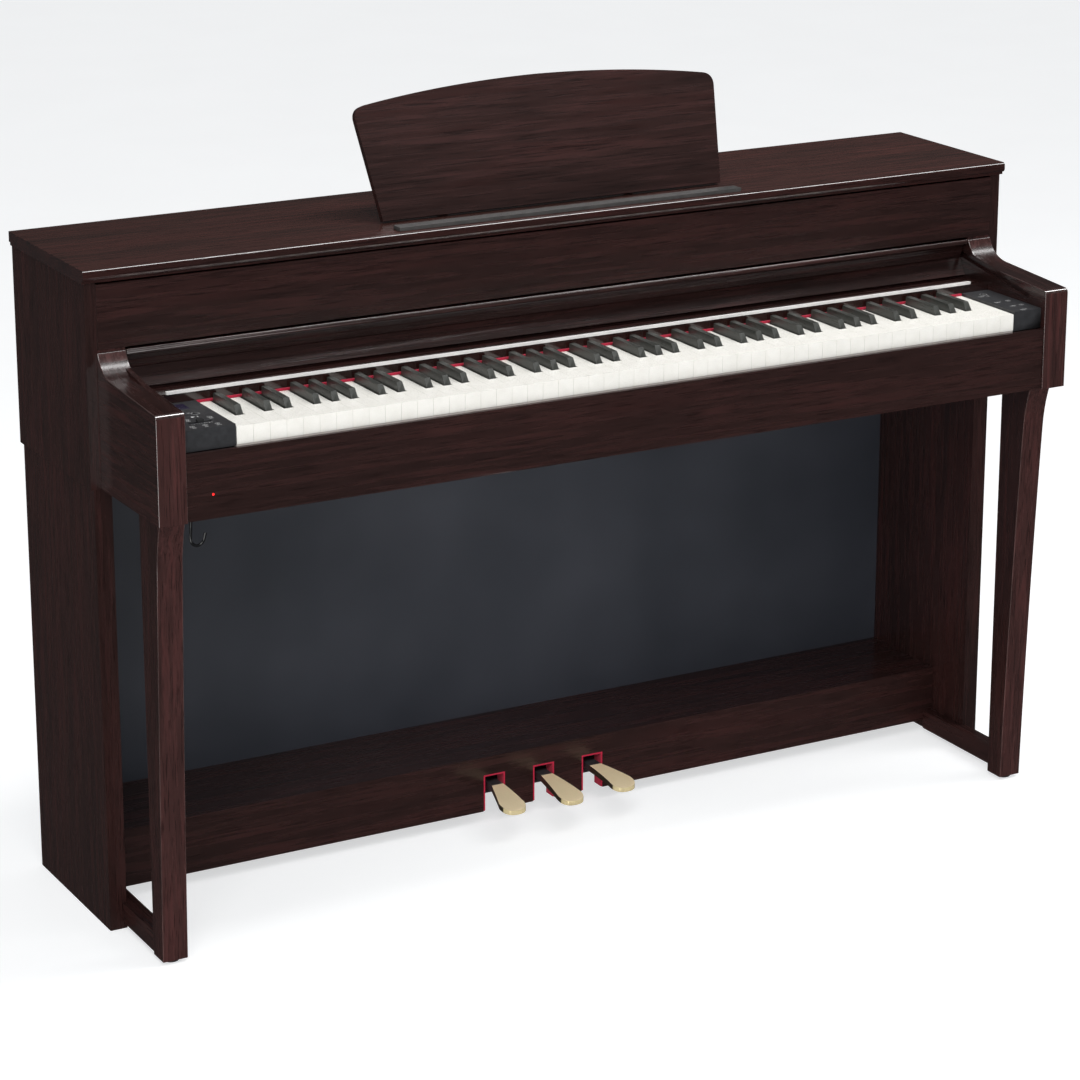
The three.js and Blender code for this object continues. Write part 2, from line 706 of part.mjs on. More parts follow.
function addMusicRest() {
  const { x, y, z, lean, thick } = musicRest;
  const tilted = new THREE.Group();
  tilted.position.set(0, y, z);
  tilted.rotation.x = -THREE.MathUtils.degToRad(lean);
  piano.add(tilted);
  const board = prismY(musicRestOutline(), 0, thick, 16);
  const stayX = [x - stay.x, x + stay.x];
  const pockets = stayX.map((centre) =>
    box(
      [centre - stay.width / 2 - 1.5, centre + stay.width / 2 + 1.5],
      [thick - stay.pocket, thick + 1],
      [stay.up - 5, stay.up + stay.length + 5],
    ),
  );
  add("music_rest", cut(board, ...pockets), rosewood, tilted);
  stayX.forEach((centre, i) => {
    const swing = new THREE.Group();
    swing.position.set(centre, thick - stay.pocket / 2 + GAP, stay.up);
    swing.rotation.x = -THREE.MathUtils.degToRad(stay.fold);
    tilted.add(swing);
    const outline = new THREE.Shape();
    outline.moveTo(stay.thick / 2, 0);
    outline.lineTo(stay.thick / 2, stay.length);
    outline.lineTo(-stay.thick / 2, stay.length);
    outline.lineTo(-stay.thick / 2, 0);
    outline.absarc(0, 0, stay.thick / 2, Math.PI, 2 * Math.PI, false);
    const strut = prismX(outline, -stay.width / 2, stay.width / 2, 6);
    add(["left", "right"][i] + "_music_rest_stay", strut, steel, swing);
  });
  const ledge = { half: 272, front: -30, rear: -10, high: 5 };
  const ledgeZ = [HEIGHT + GAP, HEIGHT + GAP + ledge.high];
  const bar = box([x - ledge.half, x + ledge.half], [ledge.front, ledge.rear], ledgeZ);
  add("music_ledge", bar, blackPlastic);
}

// ---------------------------------------------------------------- inside and underneath
function addSpeakers() {
  const floor = keyBed.top + GAP;
  const { radius, opening } = speakers;
  const profile = [
    [0, floor + 34],
    [16, floor + 30],
    [opening - 6, floor + 6],
    [opening, floor + 3],
    [opening + 2, floor],
    [radius, floor],
    [radius, floor + 5],
    [opening + 4, floor + 8],
    [30, floor + 38],
    [44, floor + 38],
    [44, floor + 62],
    [0, floor + 62],
  ].map(([r, z]) => new THREE.Vector2(r, z));
  for (const [side, sign] of sides) {
    const cone = new THREE.LatheGeometry(profile, 28).rotateX(Math.PI / 2);
    cone.translate(sign * speakers.x, speakers.y, 0);
    add(side + "_speaker", cone, blackPlastic);
  }
}

function addElectronics() {
  const floor = keyBed.top + GAP;
  const board = [box([-160, 160], [66, 196], [floor + 10, floor + 11.6])];
  for (const x of [-152, 152]) {
    for (const y of [74, 188]) board.push(rodZ(4, x, y, [floor, floor + 11], 12));
  }
  board.push(box([-120, -60], [90, 140], [floor + 11, floor + 30]));
  board.push(box([-30, 10], [100, 140], [floor + 11, floor + 15]));
  board.push(box([40, 130], [150, 186], [floor + 11, floor + 34]));
  add("main_circuit_board", join(...board), circuit);

  const { x, z, half, rise } = powerInlet;
  const flange = upperBack.front + upperBack.thick + GAP;
  const shell = join(
    box([x - half - 4, x + half + 4], [flange, flange + 3], [z - rise - 4, z + rise + 4]),
    box([x - half + 0.5, x + half - 0.5], [flange - 16, flange + 1], [z - rise + 0.5, z + rise - 0.5]),
  );
  const socket = rodY(5.5, x, [flange - 12, flange + 4], z, 20);
  add("power_inlet", cut(shell, socket), blackPlastic);
}

function addHeadphoneFittings() {
  const under = keyBed.bottom - GAP;
  const body = box([-650, -600], [-170, -120], [under - 16, under]);
  const jacks = [-637, -613].map((x) => rodY(3.2, x, [-171, -150], under - 8));
  add("headphone_jack_box", cut(body, ...jacks), blackPlastic);
  const route = new THREE.CatmullRomCurve3(
    [
      new THREE.Vector3(-655, -196, under - 1),
      new THREE.Vector3(-656, -198, under - 16),
      new THREE.Vector3(-658, -202, under - 34),
      new THREE.Vector3(-651, -203, under - 41),
      new THREE.Vector3(-642, -203, under - 37),
      new THREE.Vector3(-638, -203, under - 25),
    ],
    false,
    "centripetal",
  );
  const section = new THREE.Shape().absarc(0, 0, 2, 0, 2 * Math.PI, false);
  const wire = new THREE.ExtrudeGeometry(section, { steps: 22, extrudePath: route, curveSegments: 5 });
  const plate = box([-664, -646], [-204, -188], [under - 3, under]);
  add("headphone_hook", join(plate, wire), steel);
}

addTopBoard();
addUpperCase();
addArms();
addStandSides();
addLegs();
addPedalBox();
addPedalFelt();
addPedals();
addKeyBed();
addKeyboardFrame();
addKeys();
addFallboard();
addCheeks();
addCover();
addMusicRest();
addSpeakers();
addElectronics();
addHeadphoneFittings();

export default piano;
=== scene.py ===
import json
import math

import bmesh
import bpy
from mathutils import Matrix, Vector

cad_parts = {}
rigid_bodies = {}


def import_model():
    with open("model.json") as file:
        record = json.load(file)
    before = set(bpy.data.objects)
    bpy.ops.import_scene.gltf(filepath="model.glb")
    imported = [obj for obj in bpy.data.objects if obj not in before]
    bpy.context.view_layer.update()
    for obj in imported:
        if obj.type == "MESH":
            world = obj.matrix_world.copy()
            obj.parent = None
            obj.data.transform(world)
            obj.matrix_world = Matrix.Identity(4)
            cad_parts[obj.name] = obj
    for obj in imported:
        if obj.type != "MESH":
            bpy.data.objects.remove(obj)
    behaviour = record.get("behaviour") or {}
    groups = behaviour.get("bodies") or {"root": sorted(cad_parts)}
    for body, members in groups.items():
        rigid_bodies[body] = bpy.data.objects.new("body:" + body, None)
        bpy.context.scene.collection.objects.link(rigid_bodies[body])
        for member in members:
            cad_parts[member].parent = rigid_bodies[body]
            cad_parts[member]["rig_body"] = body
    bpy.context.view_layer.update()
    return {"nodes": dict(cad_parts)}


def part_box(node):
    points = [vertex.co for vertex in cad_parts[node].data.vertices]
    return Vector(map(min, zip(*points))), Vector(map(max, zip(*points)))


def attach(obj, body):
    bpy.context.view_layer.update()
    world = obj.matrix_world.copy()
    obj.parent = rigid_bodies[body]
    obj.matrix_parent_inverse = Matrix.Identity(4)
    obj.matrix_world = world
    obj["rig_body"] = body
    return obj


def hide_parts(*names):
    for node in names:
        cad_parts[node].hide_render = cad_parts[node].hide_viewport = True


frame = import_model()
MM = 0.001


# ---------------------------------------------------------------- materials
class Look:
    """A principled material, with short ways to add nodes to it."""

    def __init__(self, name, **sockets):
        self.material = bpy.data.materials.new(name)
        self.material.use_nodes = True
        self.tree = self.material.node_tree
        self.shader = self.tree.nodes["Principled BSDF"]
        for socket, value in sockets.items():
            self.shader.inputs[socket.replace("_", " ")].default_value = value

    def node(self, kind, **settings):
        """A new shader node, with its sockets or its own settings set by name."""
        made = self.tree.nodes.new("ShaderNode" + kind)
        for key, value in settings.items():
            if key in made.inputs:
                made.inputs[key].default_value = value
            else:
                setattr(made, key, value)
        return made

    def link(self, output, target):
        self.tree.links.new(output, target)

    def place(self, stretch=(1, 1, 1)):
        """The point in the piano's frame, scaled by stretch."""
        mapping = self.node("Mapping", Scale=stretch)
        self.link(self.node("TexCoord").outputs["Object"], mapping.inputs["Vector"])
        return mapping.outputs["Vector"]

    def noise(self, at, scale, detail=3.0, roughness=0.55, distortion=0.0):
        made = self.node("TexNoise", Scale=scale, Detail=detail, Roughness=roughness, Distortion=distortion)
        self.link(at, made.inputs["Vector"])
        return made.outputs["Fac"]

    def ramp(self, factor, *stops):
        """A colour along a factor, from (position, colour) stops."""
        made = self.node("ValToRGB")
        elements = made.color_ramp.elements
        while len(elements) < len(stops):
            elements.new(0.5)
        for element, (position, color) in zip(elements, stops):
            element.position = position
            element.color = (*color, 1.0)
        self.link(factor, made.inputs["Fac"])
        return made.outputs["Color"]

    def span(self, factor, low, high, start=0.3, end=0.7):
        """A factor from start to end, turned into a value from low to high."""
        made = self.node("MapRange")
        for name, value in (("From Min", start), ("From Max", end), ("To Min", low), ("To Max", high)):
            made.inputs[name].default_value = value
        self.link(factor, made.inputs["Value"])
        return made.outputs["Result"]

    def mix(self, mode, amount, first, second):
        """Two colours mixed by a factor. Of a mix node, inputs 6 and 7 and output 2 are the colours."""
        made = self.node("Mix", data_type="RGBA", blend_type=mode)
        self.link(amount, made.inputs[0])
        self.link(first, made.inputs[6])
        self.link(second, made.inputs[7])
        return made.outputs[2]

    def paint(self, color):
        self.link(color, self.shader.inputs["Base Color"])

    def satin(self, value):
        self.link(value, self.shader.inputs["Roughness"])

    def relief(self, height, strength, depth):
        made = self.node("Bump", Strength=strength, Distance=depth)
        self.link(height, made.inputs["Height"])
        self.link(made.outputs["Normal"], self.shader.inputs["Normal"])


def along(grain, share):
    """A stretch that draws a pattern out along one axis."""
    return tuple(share if axis == grain else 1.0 for axis in "XYZ")


def rosewood(name, grain, lift=(1.0, 1.0, 1.0), gloss=(0.22, 0.31), coat=0.25, coat_index=1.5):
    """Dark lacquered wood: broad bands, thin reddish streaks and fine dark pores along the grain."""
    look = Look(name, Coat_Weight=coat, Coat_Roughness=0.12, Coat_IOR=coat_index)
    bands = look.noise(look.place(along(grain, 0.10)), 17.0, 4.0, 0.55, 0.5)
    streaks = look.noise(look.place(along(grain, 0.045)), 125.0, 5.0, 0.62, 0.35)
    pores = look.noise(look.place(along(grain, 0.030)), 620.0, 2.0, 0.5)
    tones = [(0.0120, 0.0058, 0.0052), (0.0250, 0.0100, 0.0088), (0.0460, 0.0134, 0.0120)]
    dark, middle, red = [tuple(share * c for share, c in zip(lift, tone)) for tone in tones]
    ground = look.ramp(bands, (0.28, dark), (0.52, middle), (0.76, red))
    vein = look.ramp(streaks, (0.30, dark), (0.50, middle), (0.72, red))
    wood = look.mix("MIX", look.span(streaks, 0.35, 0.75, 0.35, 0.65), ground, vein)
    shade = look.ramp(pores, (0.34, (0.38, 0.36, 0.36)), (0.47, (1.0, 1.0, 1.0)))
    look.paint(look.mix("MULTIPLY", look.span(bands, 0.6, 1.0), wood, shade))
    look.satin(look.span(streaks, *gloss))
    look.relief(look.span(pores, 0.0, 1.0, 0.34, 0.47), 0.35, 0.00012)
    return look.material


def plain(name, low, high, scale, rough, relief=0.0, depth=0.0001, stretch=(1, 1, 1), **sockets):
    """A moulded or painted finish: two close tones, uneven gloss and a fine surface grain."""
    look = Look(name, **sockets)
    at = look.place(stretch)
    cloud = look.noise(at, scale * 0.08, 2.0)
    grit = look.noise(at, scale, 2.0, 0.6)
    look.paint(look.ramp(cloud, (0.32, low), (0.68, high)))
    look.satin(look.span(grit, *rough))
    if relief:
        look.relief(grit, relief, depth)
    return look.material


def felt(name):
    """Crimson felt: matted fibres in small tufts."""
    sheen = {"Sheen_Weight": 0.6, "Sheen_Roughness": 0.4, "Sheen_Tint": (1.0, 0.25, 0.3, 1.0)}
    look = Look(name, Roughness=0.95, **sheen)
    at = look.place()
    fibres = look.noise(at, 900.0, 6.0, 0.75, 1.2)
    tufts = look.noise(at, 160.0, 4.0, 0.6)
    nap = look.ramp(fibres, (0.30, (0.30, 0.002, 0.022)), (0.70, (0.66, 0.010, 0.060)))
    wear = look.ramp(tufts, (0.30, (0.72, 0.70, 0.70)), (0.65, (1.0, 1.0, 1.0)))
    look.paint(look.mix("MULTIPLY", look.span(tufts, 0.5, 1.0), nap, wear))
    look.relief(fibres, 0.8, 0.0006)
    return look.material


def brushed(name, low, high, rough, grain, scale=900.0, strength=0.15, metal=1.0):
    """Bare or lacquered metal with fine brush lines along one axis."""
    look = Look(name, Metallic=metal)
    lines = look.noise(look.place(along(grain, 0.02)), scale, 3.0, 0.7)
    patches = look.noise(look.place(), 22.0, 3.0)
    look.paint(look.ramp(patches, (0.30, low), (0.70, high)))
    look.satin(look.span(lines, *rough))
    look.relief(lines, strength, 0.00005)
    return look.material


def lit(name, color, glow, strength):
    """A smooth lens or glass that glows by itself."""
    look = Look(name, Roughness=0.2, Emission_Strength=strength, Emission_Color=(*glow, 1.0))
    depth = look.noise(look.place(), 300.0, 2.0)
    look.paint(look.ramp(depth, (0.3, color), (0.7, tuple(0.8 * c for c in color))))
    return look.material


WOOD_X = rosewood("rosewood_along_x", "X")
WOOD_Y = rosewood("rosewood_along_y", "Y")
WOOD_Z = rosewood("rosewood_upright", "Z")
# The top board's top is the wood painted lighter, as if lit from above: painted light on a copy of the wood.
WOOD_TOP_PAINTED_LIT = rosewood("rosewood_top_painted_lit", "X", (1.9, 1.85, 1.7))
# Faces that look at the player are the wood painted lighter, as if lit from the front: painted light on a
# copy of the wood.
WOOD_FRONT_PAINTED_LIT = rosewood("rosewood_front_painted_lit", "Z", (1.9, 1.75, 1.8))
POLISHED = rosewood("rosewood_polished", "X", (0.9, 0.9, 0.9), (0.05, 0.08), 1.0)
# The rounded edges and the noses carry a painted highlight: their base tones are lifted several times above
# the wood's, as if they caught the light. Their lacquer is also smoother and reflects more.
EDGES_PAINTED_HIGHLIGHT = {
    grain: rosewood("rosewood_edge_painted_highlight_" + grain.lower(), grain, (3.2, 4.6, 4.8), (0.12, 0.18), 0.9, 2.0)
    for grain in "XYZ"
}
NOSES_PAINTED_HIGHLIGHT = {
    grain: rosewood("rosewood_nose_painted_highlight_" + grain.lower(), grain, (2.2, 3.0, 3.1), (0.08, 0.12), 1.0, 2.4)
    for grain in "XY"
}
PANEL = plain("dark_panel", (0.0285, 0.0315, 0.0410), (0.0420, 0.0450, 0.0570), 60.0, (0.36, 0.46), 0.10)
HARDBOARD = plain("back_board", (0.012, 0.011, 0.011), (0.020, 0.018, 0.017), 500.0, (0.55, 0.70), 0.30)
IVORY = plain(
    "ivory_key", (0.83, 0.810, 0.752), (0.88, 0.860, 0.806), 700.0, (0.24, 0.34), 0.05, 0.00004
)
KEY_CORE = plain("key_core", (0.64, 0.58, 0.54), (0.72, 0.66, 0.62), 500.0, (0.50, 0.62), 0.10)
EBONY_TONES = (0.032, 0.034, 0.030), (0.044, 0.046, 0.041)
EBONY = plain("ebony_key", *EBONY_TONES, 900.0, (0.26, 0.38), 0.10, 0.00005, (1, 0.05, 1))
FELT = felt("crimson_felt")
BRASS_TOP = brushed(
    "brass_satin", (0.84, 0.68, 0.43), (0.90, 0.74, 0.49), (0.34, 0.46), "Y", 1200.0, 0.10, 0.12
)
BRASS_EDGE = brushed(
    "brass_polished", (0.86, 0.70, 0.38), (0.92, 0.77, 0.45), (0.08, 0.14), "X", 900.0, 0.05, 0.35
)
# The pedal's sides and underside are brass painted almost black: painted shade.
BRASS_PAINTED_SHADE_SIDE = brushed(
    "brass_painted_shadow", (0.045, 0.035, 0.022), (0.065, 0.050, 0.032), (0.30, 0.45), "Y", 900.0, 0.1, 0.5
)
BRIGHT = brushed(
    "bright_strip", (0.90, 0.88, 0.86), (0.94, 0.92, 0.90), (0.22, 0.30), "X", 900.0, 0.02, 0.08
)
STEEL = brushed("plain_steel", (0.36, 0.37, 0.39), (0.48, 0.49, 0.51), (0.28, 0.42), "X")
ZINC = brushed("zinc_screw", (0.30, 0.30, 0.31), (0.42, 0.42, 0.43), (0.25, 0.40), "Z")
MOULDED = plain(
    "black_moulding", (0.0210, 0.0214, 0.0235), (0.0320, 0.0326, 0.0360), 1500.0, (0.36, 0.48), 0.30
)
GLOSSY = plain(
    "gloss_black", (0.0070, 0.0072, 0.0078), (0.0105, 0.0108, 0.0115), 900.0, (0.12, 0.18), 0.03
)
KNOB = plain("knob_rubber", (0.020, 0.020, 0.021), (0.030, 0.030, 0.031), 1800.0, (0.50, 0.62), 0.40)
LEDGE = plain("ledge_satin", (0.055, 0.053, 0.052), (0.075, 0.072, 0.070), 1100.0, (0.26, 0.36), 0.12)
MARK = plain("pale_print", (0.50, 0.50, 0.49), (0.60, 0.60, 0.59), 900.0, (0.45, 0.55))
PAPER = plain(
    "speaker_paper", (0.014, 0.014, 0.015), (0.026, 0.026, 0.027), 700.0, (0.62, 0.80), 0.60, 0.0002
)
SURROUND = plain(
    "speaker_rubber", (0.010, 0.010, 0.010), (0.016, 0.016, 0.016), 1200.0, (0.40, 0.52), 0.15
)
FOOT = plain("glide_rubber", (0.012, 0.012, 0.012), (0.020, 0.020, 0.020), 900.0, (0.60, 0.75), 0.30)
LAMINATE = plain(
    "board_laminate", (0.010, 0.052, 0.026), (0.018, 0.074, 0.038), 300.0, (0.30, 0.45), 0.20
)
DISPLAY = lit("display_glass", (0.014, 0.012, 0.026), (0.09, 0.07, 0.17), 0.07)
SEGMENT = lit("display_segment", (0.16, 0.17, 0.30), (0.30, 0.30, 0.60), 0.25)
LAMP = lit("red_lens", (0.65, 0.010, 0.010), (1.0, 0.02, 0.02), 1.6)


# ---------------------------------------------------------------- mesh helpers
SHARP, BEND, CREASE = math.radians(38), math.radians(30), math.radians(27)
FLAT, STRAIGHT = math.radians(0.03), math.radians(0.5)
MANY_SIDES = 9

# Two coordinates across an axis and one along it, put in the order X, Y, Z.
TURN = {
    "X": lambda a, b, c: (c, a, b),
    "Y": lambda a, b, c: (a, c, b),
    "Z": lambda a, b, c: (a, b, c),
}


def box_of(node):
    """The low and the high corner of a CAD node's box, in millimetres."""
    return [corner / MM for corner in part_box(node)]


def middle(low, high):
    """The point halfway between two corners."""
    return (low + high) / 2


def rectangle(x, y):
    """The outline of a rectangle, from its two ranges."""
    return [(x[0], y[0]), (x[1], y[0]), (x[1], y[1]), (x[0], y[1])]


def finished(bm, name, materials, body="root", nodes=()):
    """Turns a mesh under construction into a piece that rides on a body and stands for CAD nodes."""
    bmesh.ops.recalc_face_normals(bm, faces=bm.faces)
    mesh = bpy.data.meshes.new(name)
    bm.to_mesh(mesh)
    bm.free()
    for material in materials if isinstance(materials, (list, tuple)) else [materials]:
        mesh.materials.append(material)
    mesh.polygons.foreach_set("use_smooth", [len(face.vertices) < MANY_SIDES for face in mesh.polygons])
    mesh.set_sharp_from_angle(angle=SHARP)
    piece = bpy.data.objects.new(name, mesh)
    bpy.context.scene.collection.objects.link(piece)
    weights = piece.modifiers.new("weights", "WEIGHTED_NORMAL")
    weights.keep_sharp = True
    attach(piece, body)
    if nodes:
        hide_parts(*nodes)
    return piece


def soften(bm, width, segments=3, index=-1, picked=None):
    """Rounds the creased edges by a width in millimetres, and gives the new faces a material index."""
    edges = [e for e in bm.edges if e.is_manifold and e.calc_face_angle(0.0) > CREASE]
    if picked:
        edges = [e for e in edges if all(picked(v.co / MM) for v in e.verts)]
    bmesh.ops.bevel(
        bm,
        geom=edges,
        offset=width * MM,
        offset_type="OFFSET",
        segments=segments,
        profile=0.5,
        clamp_overlap=True,
        material=index,
    )


def whole_faces(source):
    """A CAD node's mesh, without the edges and vertices that its flat faces don't need."""
    bm = bmesh.new()
    bm.from_mesh(source.data)
    bmesh.ops.remove_doubles(bm, verts=bm.verts, dist=0.001 * MM)
    bmesh.ops.dissolve_limit(bm, angle_limit=FLAT, verts=bm.verts, edges=bm.edges)
    spare = [v for v in bm.verts if len(v.link_edges) == 2 and v.calc_edge_angle(math.pi) < STRAIGHT]
    bmesh.ops.dissolve_verts(bm, verts=spare)
    return bm


def refined(node, material, width=1.0, segments=3, sort=None, rim=-1, first=None):
    """A piece with a CAD node's own shape, its flat faces made whole and its edges rounded.

    sort gives each face the index of its material, and rim is the index for the rounded edges, which
    otherwise go on as their neighbours. first picks edges that are rounded more: (test, width, index)."""
    source = frame["nodes"][node]
    bm = whole_faces(source)
    if sort:
        bm.normal_update()
        for face in bm.faces:
            face.material_index = sort(face)
    if first:
        test, broad, index = first
        soften(bm, broad, 6, index, test)
    soften(bm, width, segments, rim)
    return finished(bm, node + ".look", material, source["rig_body"], [node])


def prism(bm, outline, axis, start, end):
    """A closed solid: an outline in millimetres across an axis, run from start to end along it."""
    turn = TURN[axis]
    rings = [[bm.verts.new(Vector(turn(a, b, c)) * MM) for a, b in outline] for c in (start, end)]
    bm.faces.new(rings[0])
    bm.faces.new(list(reversed(rings[1])))
    count = len(outline)
    for i in range(count):
        j = (i + 1) % count
        bm.faces.new((rings[0][i], rings[0][j], rings[1][j], rings[1][i]))
    return bm


def corners_of(outline):
    """Each point of a closed outline between its two neighbours, as vectors."""
    points = [Vector(point) for point in outline]
    return zip(points[-1:] + points[:-1], points, points[1:] + points[:1])


def eased(outline, radius, steps=4):
    """A closed outline with its sharp corners rounded off."""
    line = []
    for before, here, after in corners_of(outline):
        back, ahead = (before - here).normalized(), (after - here).normalized()
        turn = math.pi - back.angle(ahead)
        if turn < BEND:
            line.append(here)
            continue
        reach = radius * math.tan(turn / 2)
        for k in range(steps + 1):
            t = k / steps
            line.append(here + back * reach * (1 - t) ** 2 + ahead * reach * t**2)
    return line


def inset(outline, depth):
    """An outline that runs anticlockwise, moved inwards by depth."""
    line = []
    for before, here, after in corners_of(outline):
        arrives, leaves = (here - before).normalized(), (after - here).normalized()
        onward = (arrives + leaves).normalized()
        line.append(here + Vector((-onward.y, onward.x)) * depth / max(onward.dot(leaves), 0.5))
    return line


def cushioned(outline, start, end, radius, steps=4):
    """A closed prism along X, in millimetres, whose corners and rims are all rounded.

    The corners are rounder than the rims, so that they don't cross themselves where the rims end."""
    corner_share = 1.35
    bm = bmesh.new()
    outline = eased(outline, corner_share * radius)
    angles = [math.pi / 2 * k / steps for k in range(steps + 1)]
    levels = [(start + radius * (1 - math.sin(a)), radius * (1 - math.cos(a))) for a in reversed(angles)]
    levels += [(end - radius * (1 - math.sin(a)), radius * (1 - math.cos(a))) for a in angles]
    rings = []
    for x, depth in levels:
        rings.append([bm.verts.new(Vector((x, *point)) * MM) for point in inset(outline, depth)])
    for low, high in zip(rings, rings[1:]):
        for i, vert in enumerate(low):
            j = (i + 1) % len(low)
            bm.faces.new((vert, low[j], high[j], high[i]))
    bm.faces.new(rings[0])
    bm.faces.new(list(reversed(rings[-1])))
    bmesh.ops.remove_doubles(bm, verts=bm.verts, dist=0.002 * MM)
    bmesh.ops.dissolve_degenerate(bm, edges=bm.edges, dist=0.002 * MM)
    return bm


def combined(bm, other, operation):
    """One closed mesh joined with another, or cut by it."""
    pieces = []
    for part in (bm, other):
        bmesh.ops.recalc_face_normals(part, faces=part.faces)
        mesh = bpy.data.meshes.new("part")
        part.to_mesh(mesh)
        part.free()
        pieces.append(bpy.data.objects.new("part", mesh))
        bpy.context.scene.collection.objects.link(pieces[-1])
    act = pieces[0].modifiers.new("act", "BOOLEAN")
    act.operation = operation
    act.solver = "MANIFOLD"
    act.object = pieces[1]
    whole = pieces[0].evaluated_get(bpy.context.evaluated_depsgraph_get())
    made = bmesh.new()
    made.from_mesh(whole.to_mesh())
    bmesh.ops.remove_doubles(made, verts=made.verts, dist=0.005 * MM)
    bmesh.ops.dissolve_degenerate(made, edges=made.edges, dist=0.005 * MM)
    bmesh.ops.dissolve_limit(made, angle_limit=FLAT, verts=made.verts, edges=made.edges)
    for piece in pieces:
        mesh = piece.data
        bpy.data.objects.remove(piece)
        bpy.data.meshes.remove(mesh)
    return made


def lathe(bm, profile, centre, axis="Z", steps=48):
    """A closed turned solid. The profile is (radius, height) in millimetres, from axis to axis."""
    turn = TURN[axis]
    rings = []
    for radius, height in profile:
        if radius == 0:
            rings.append([bm.verts.new((Vector(turn(0, 0, height)) + Vector(centre)) * MM)])
            continue
        ring = []
        for k in range(steps):
            angle = 2 * math.pi * k / steps
            point = Vector(turn(radius * math.cos(angle), radius * math.sin(angle), height))
            ring.append(bm.verts.new((point + Vector(centre)) * MM))
        rings.append(ring)
    for low, high in zip(rings, rings[1:]):
        for k in range(steps):
            m = (k + 1) % steps
            if len(low) == 1:
                corners = (low[0], high[m], high[k])
            elif len(high) == 1:
                corners = (low[k], low[m], high[0])
            else:
                corners = (low[k], low[m], high[m], high[k])
            bm.faces.new(corners)
    return bm


def lathe_ring(bm, radius, wide, centre, low, high, steps=32, axis="Z"):
    """A closed flat ring. Its centre is in the two axes across its own."""
    turn = TURN[axis]
    inner = radius - wide
    corners = ((inner, low), (radius, low), (radius, high), (inner, high))
    offset = Vector(turn(*centre, 0))
    angles = [2 * math.pi * k / steps for k in range(steps)]
    rings = []
    for r, h in corners:
        points = [Vector(turn(r * math.cos(a), r * math.sin(a), h)) for a in angles]
        rings.append([bm.verts.new((point + offset) * MM) for point in points])
    for i in range(4):
        for k in range(steps):
            m, j = (k + 1) % steps, (i + 1) % 4
            bm.faces.new((rings[i][k], rings[i][m], rings[j][m], rings[j][k]))


def rounded_block(bm, x, y, z, width, segments=3):
    """A box with rounded edges, added to bm."""
    block = prism(bmesh.new(), rectangle(x, y), "Z", *z)
    bmesh.ops.recalc_face_normals(block, faces=block.faces)
    soften(block, width, segments)
    absorb(bm, block)
    return bm


def absorb(bm, extra, index=None):
    """Moves the faces of another mesh into bm."""
    copy = {v: bm.verts.new(v.co) for v in extra.verts}
    for face in extra.faces:
        made = bm.faces.new([copy[v] for v in face.verts])
        made.material_index = face.material_index if index is None else index
    extra.free()


def tube(bm, points, radius, sides):
    """A closed round wire through points in millimetres."""
    path = [Vector(p) for p in points]
    rings = []
    side = None
    for i, point in enumerate(path):
        ahead = (path[min(i + 1, len(path) - 1)] - path[max(i - 1, 0)]).normalized()
        side = (ahead.orthogonal() if side is None else side - ahead * side.dot(ahead)).normalized()
        up = ahead.cross(side)
        ring = []
        for k in range(sides):
            angle = 2 * math.pi * k / sides
            spoke = radius * (math.cos(angle) * side + math.sin(angle) * up)
            ring.append(bm.verts.new((point + spoke) * MM))
        rings.append(ring)
    for low, high in zip(rings, rings[1:]):
        for k in range(sides):
            m = (k + 1) % sides
            bm.faces.new((low[k], low[m], high[m], high[k]))
    bm.faces.new(rings[0])
    bm.faces.new(list(reversed(rings[-1])))
    return bm


def smooth_path(points, steps):
    """A Catmull-Rom line through points, with steps points in each stretch."""
    path = [Vector(p) for p in points]
    path = [2 * path[0] - path[1], *path, 2 * path[-1] - path[-2]]
    line = []
    for a, b, c, d in zip(path, path[1:], path[2:], path[3:]):
        for k in range(steps):
            t = k / steps
            bend, twist = 2 * a - 5 * b + 4 * c - d, 3 * b - a - 3 * c + d
            line.append(0.5 * (2 * b + (c - a) * t + bend * t**2 + twist * t**3))
    return [*line, path[-2]]


def curve(points, steps):
    """Points along a Bezier curve of any degree, without its first point."""
    line = []
    for k in range(1, steps + 1):
        reach = [Vector(point) for point in points]
        while len(reach) > 1:
            reach = [a.lerp(b, k / steps) for a, b in zip(reach, reach[1:])]
        line.append(tuple(reach[0]))
    return line


# ---------------------------------------------------------------- wooden panels
UPRIGHT, LENGTHWAYS, INWARD = [WOOD_Z, EDGES_PAINTED_HIGHLIGHT["Z"]], [WOOD_X, EDGES_PAINTED_HIGHLIGHT["X"]], [WOOD_Y, EDGES_PAINTED_HIGHLIGHT["Y"]]
BROW_FRONT = -80
COVER_SLOPE, COVER_Y, COVER_Z = math.radians(9.5), -14, 786.2
ARM_REAR, ARM_SHOULDER, ARM_SWEEP, ARM_TOP, ARM_NOSE = -34.6, 815.6, 785, 776.9, 8
ROOM, TAIL_STEP = 0.3, 1.6
# The top face takes the wood painted lighter as if lit from above; the other faces are polished.
refined("top_board", [WOOD_TOP_PAINTED_LIT, POLISHED], 1.1, sort=lambda face: int(face.normal.z < 0.97))
for node in ("upper_front_panel", "front_key_rail", "key_bed", "pedal_box_front_rail", "pedal_box_shelf"):
    refined(node, LENGTHWAYS, 1.0, rim=1)
refined("key_cover", LENGTHWAYS, 1.2, rim=1)


def fallboard_face(face):
    """3, polished, in front of the brow, and 0 elsewhere."""
    return 3 if face.calc_center_median().y / MM < BROW_FRONT else 0


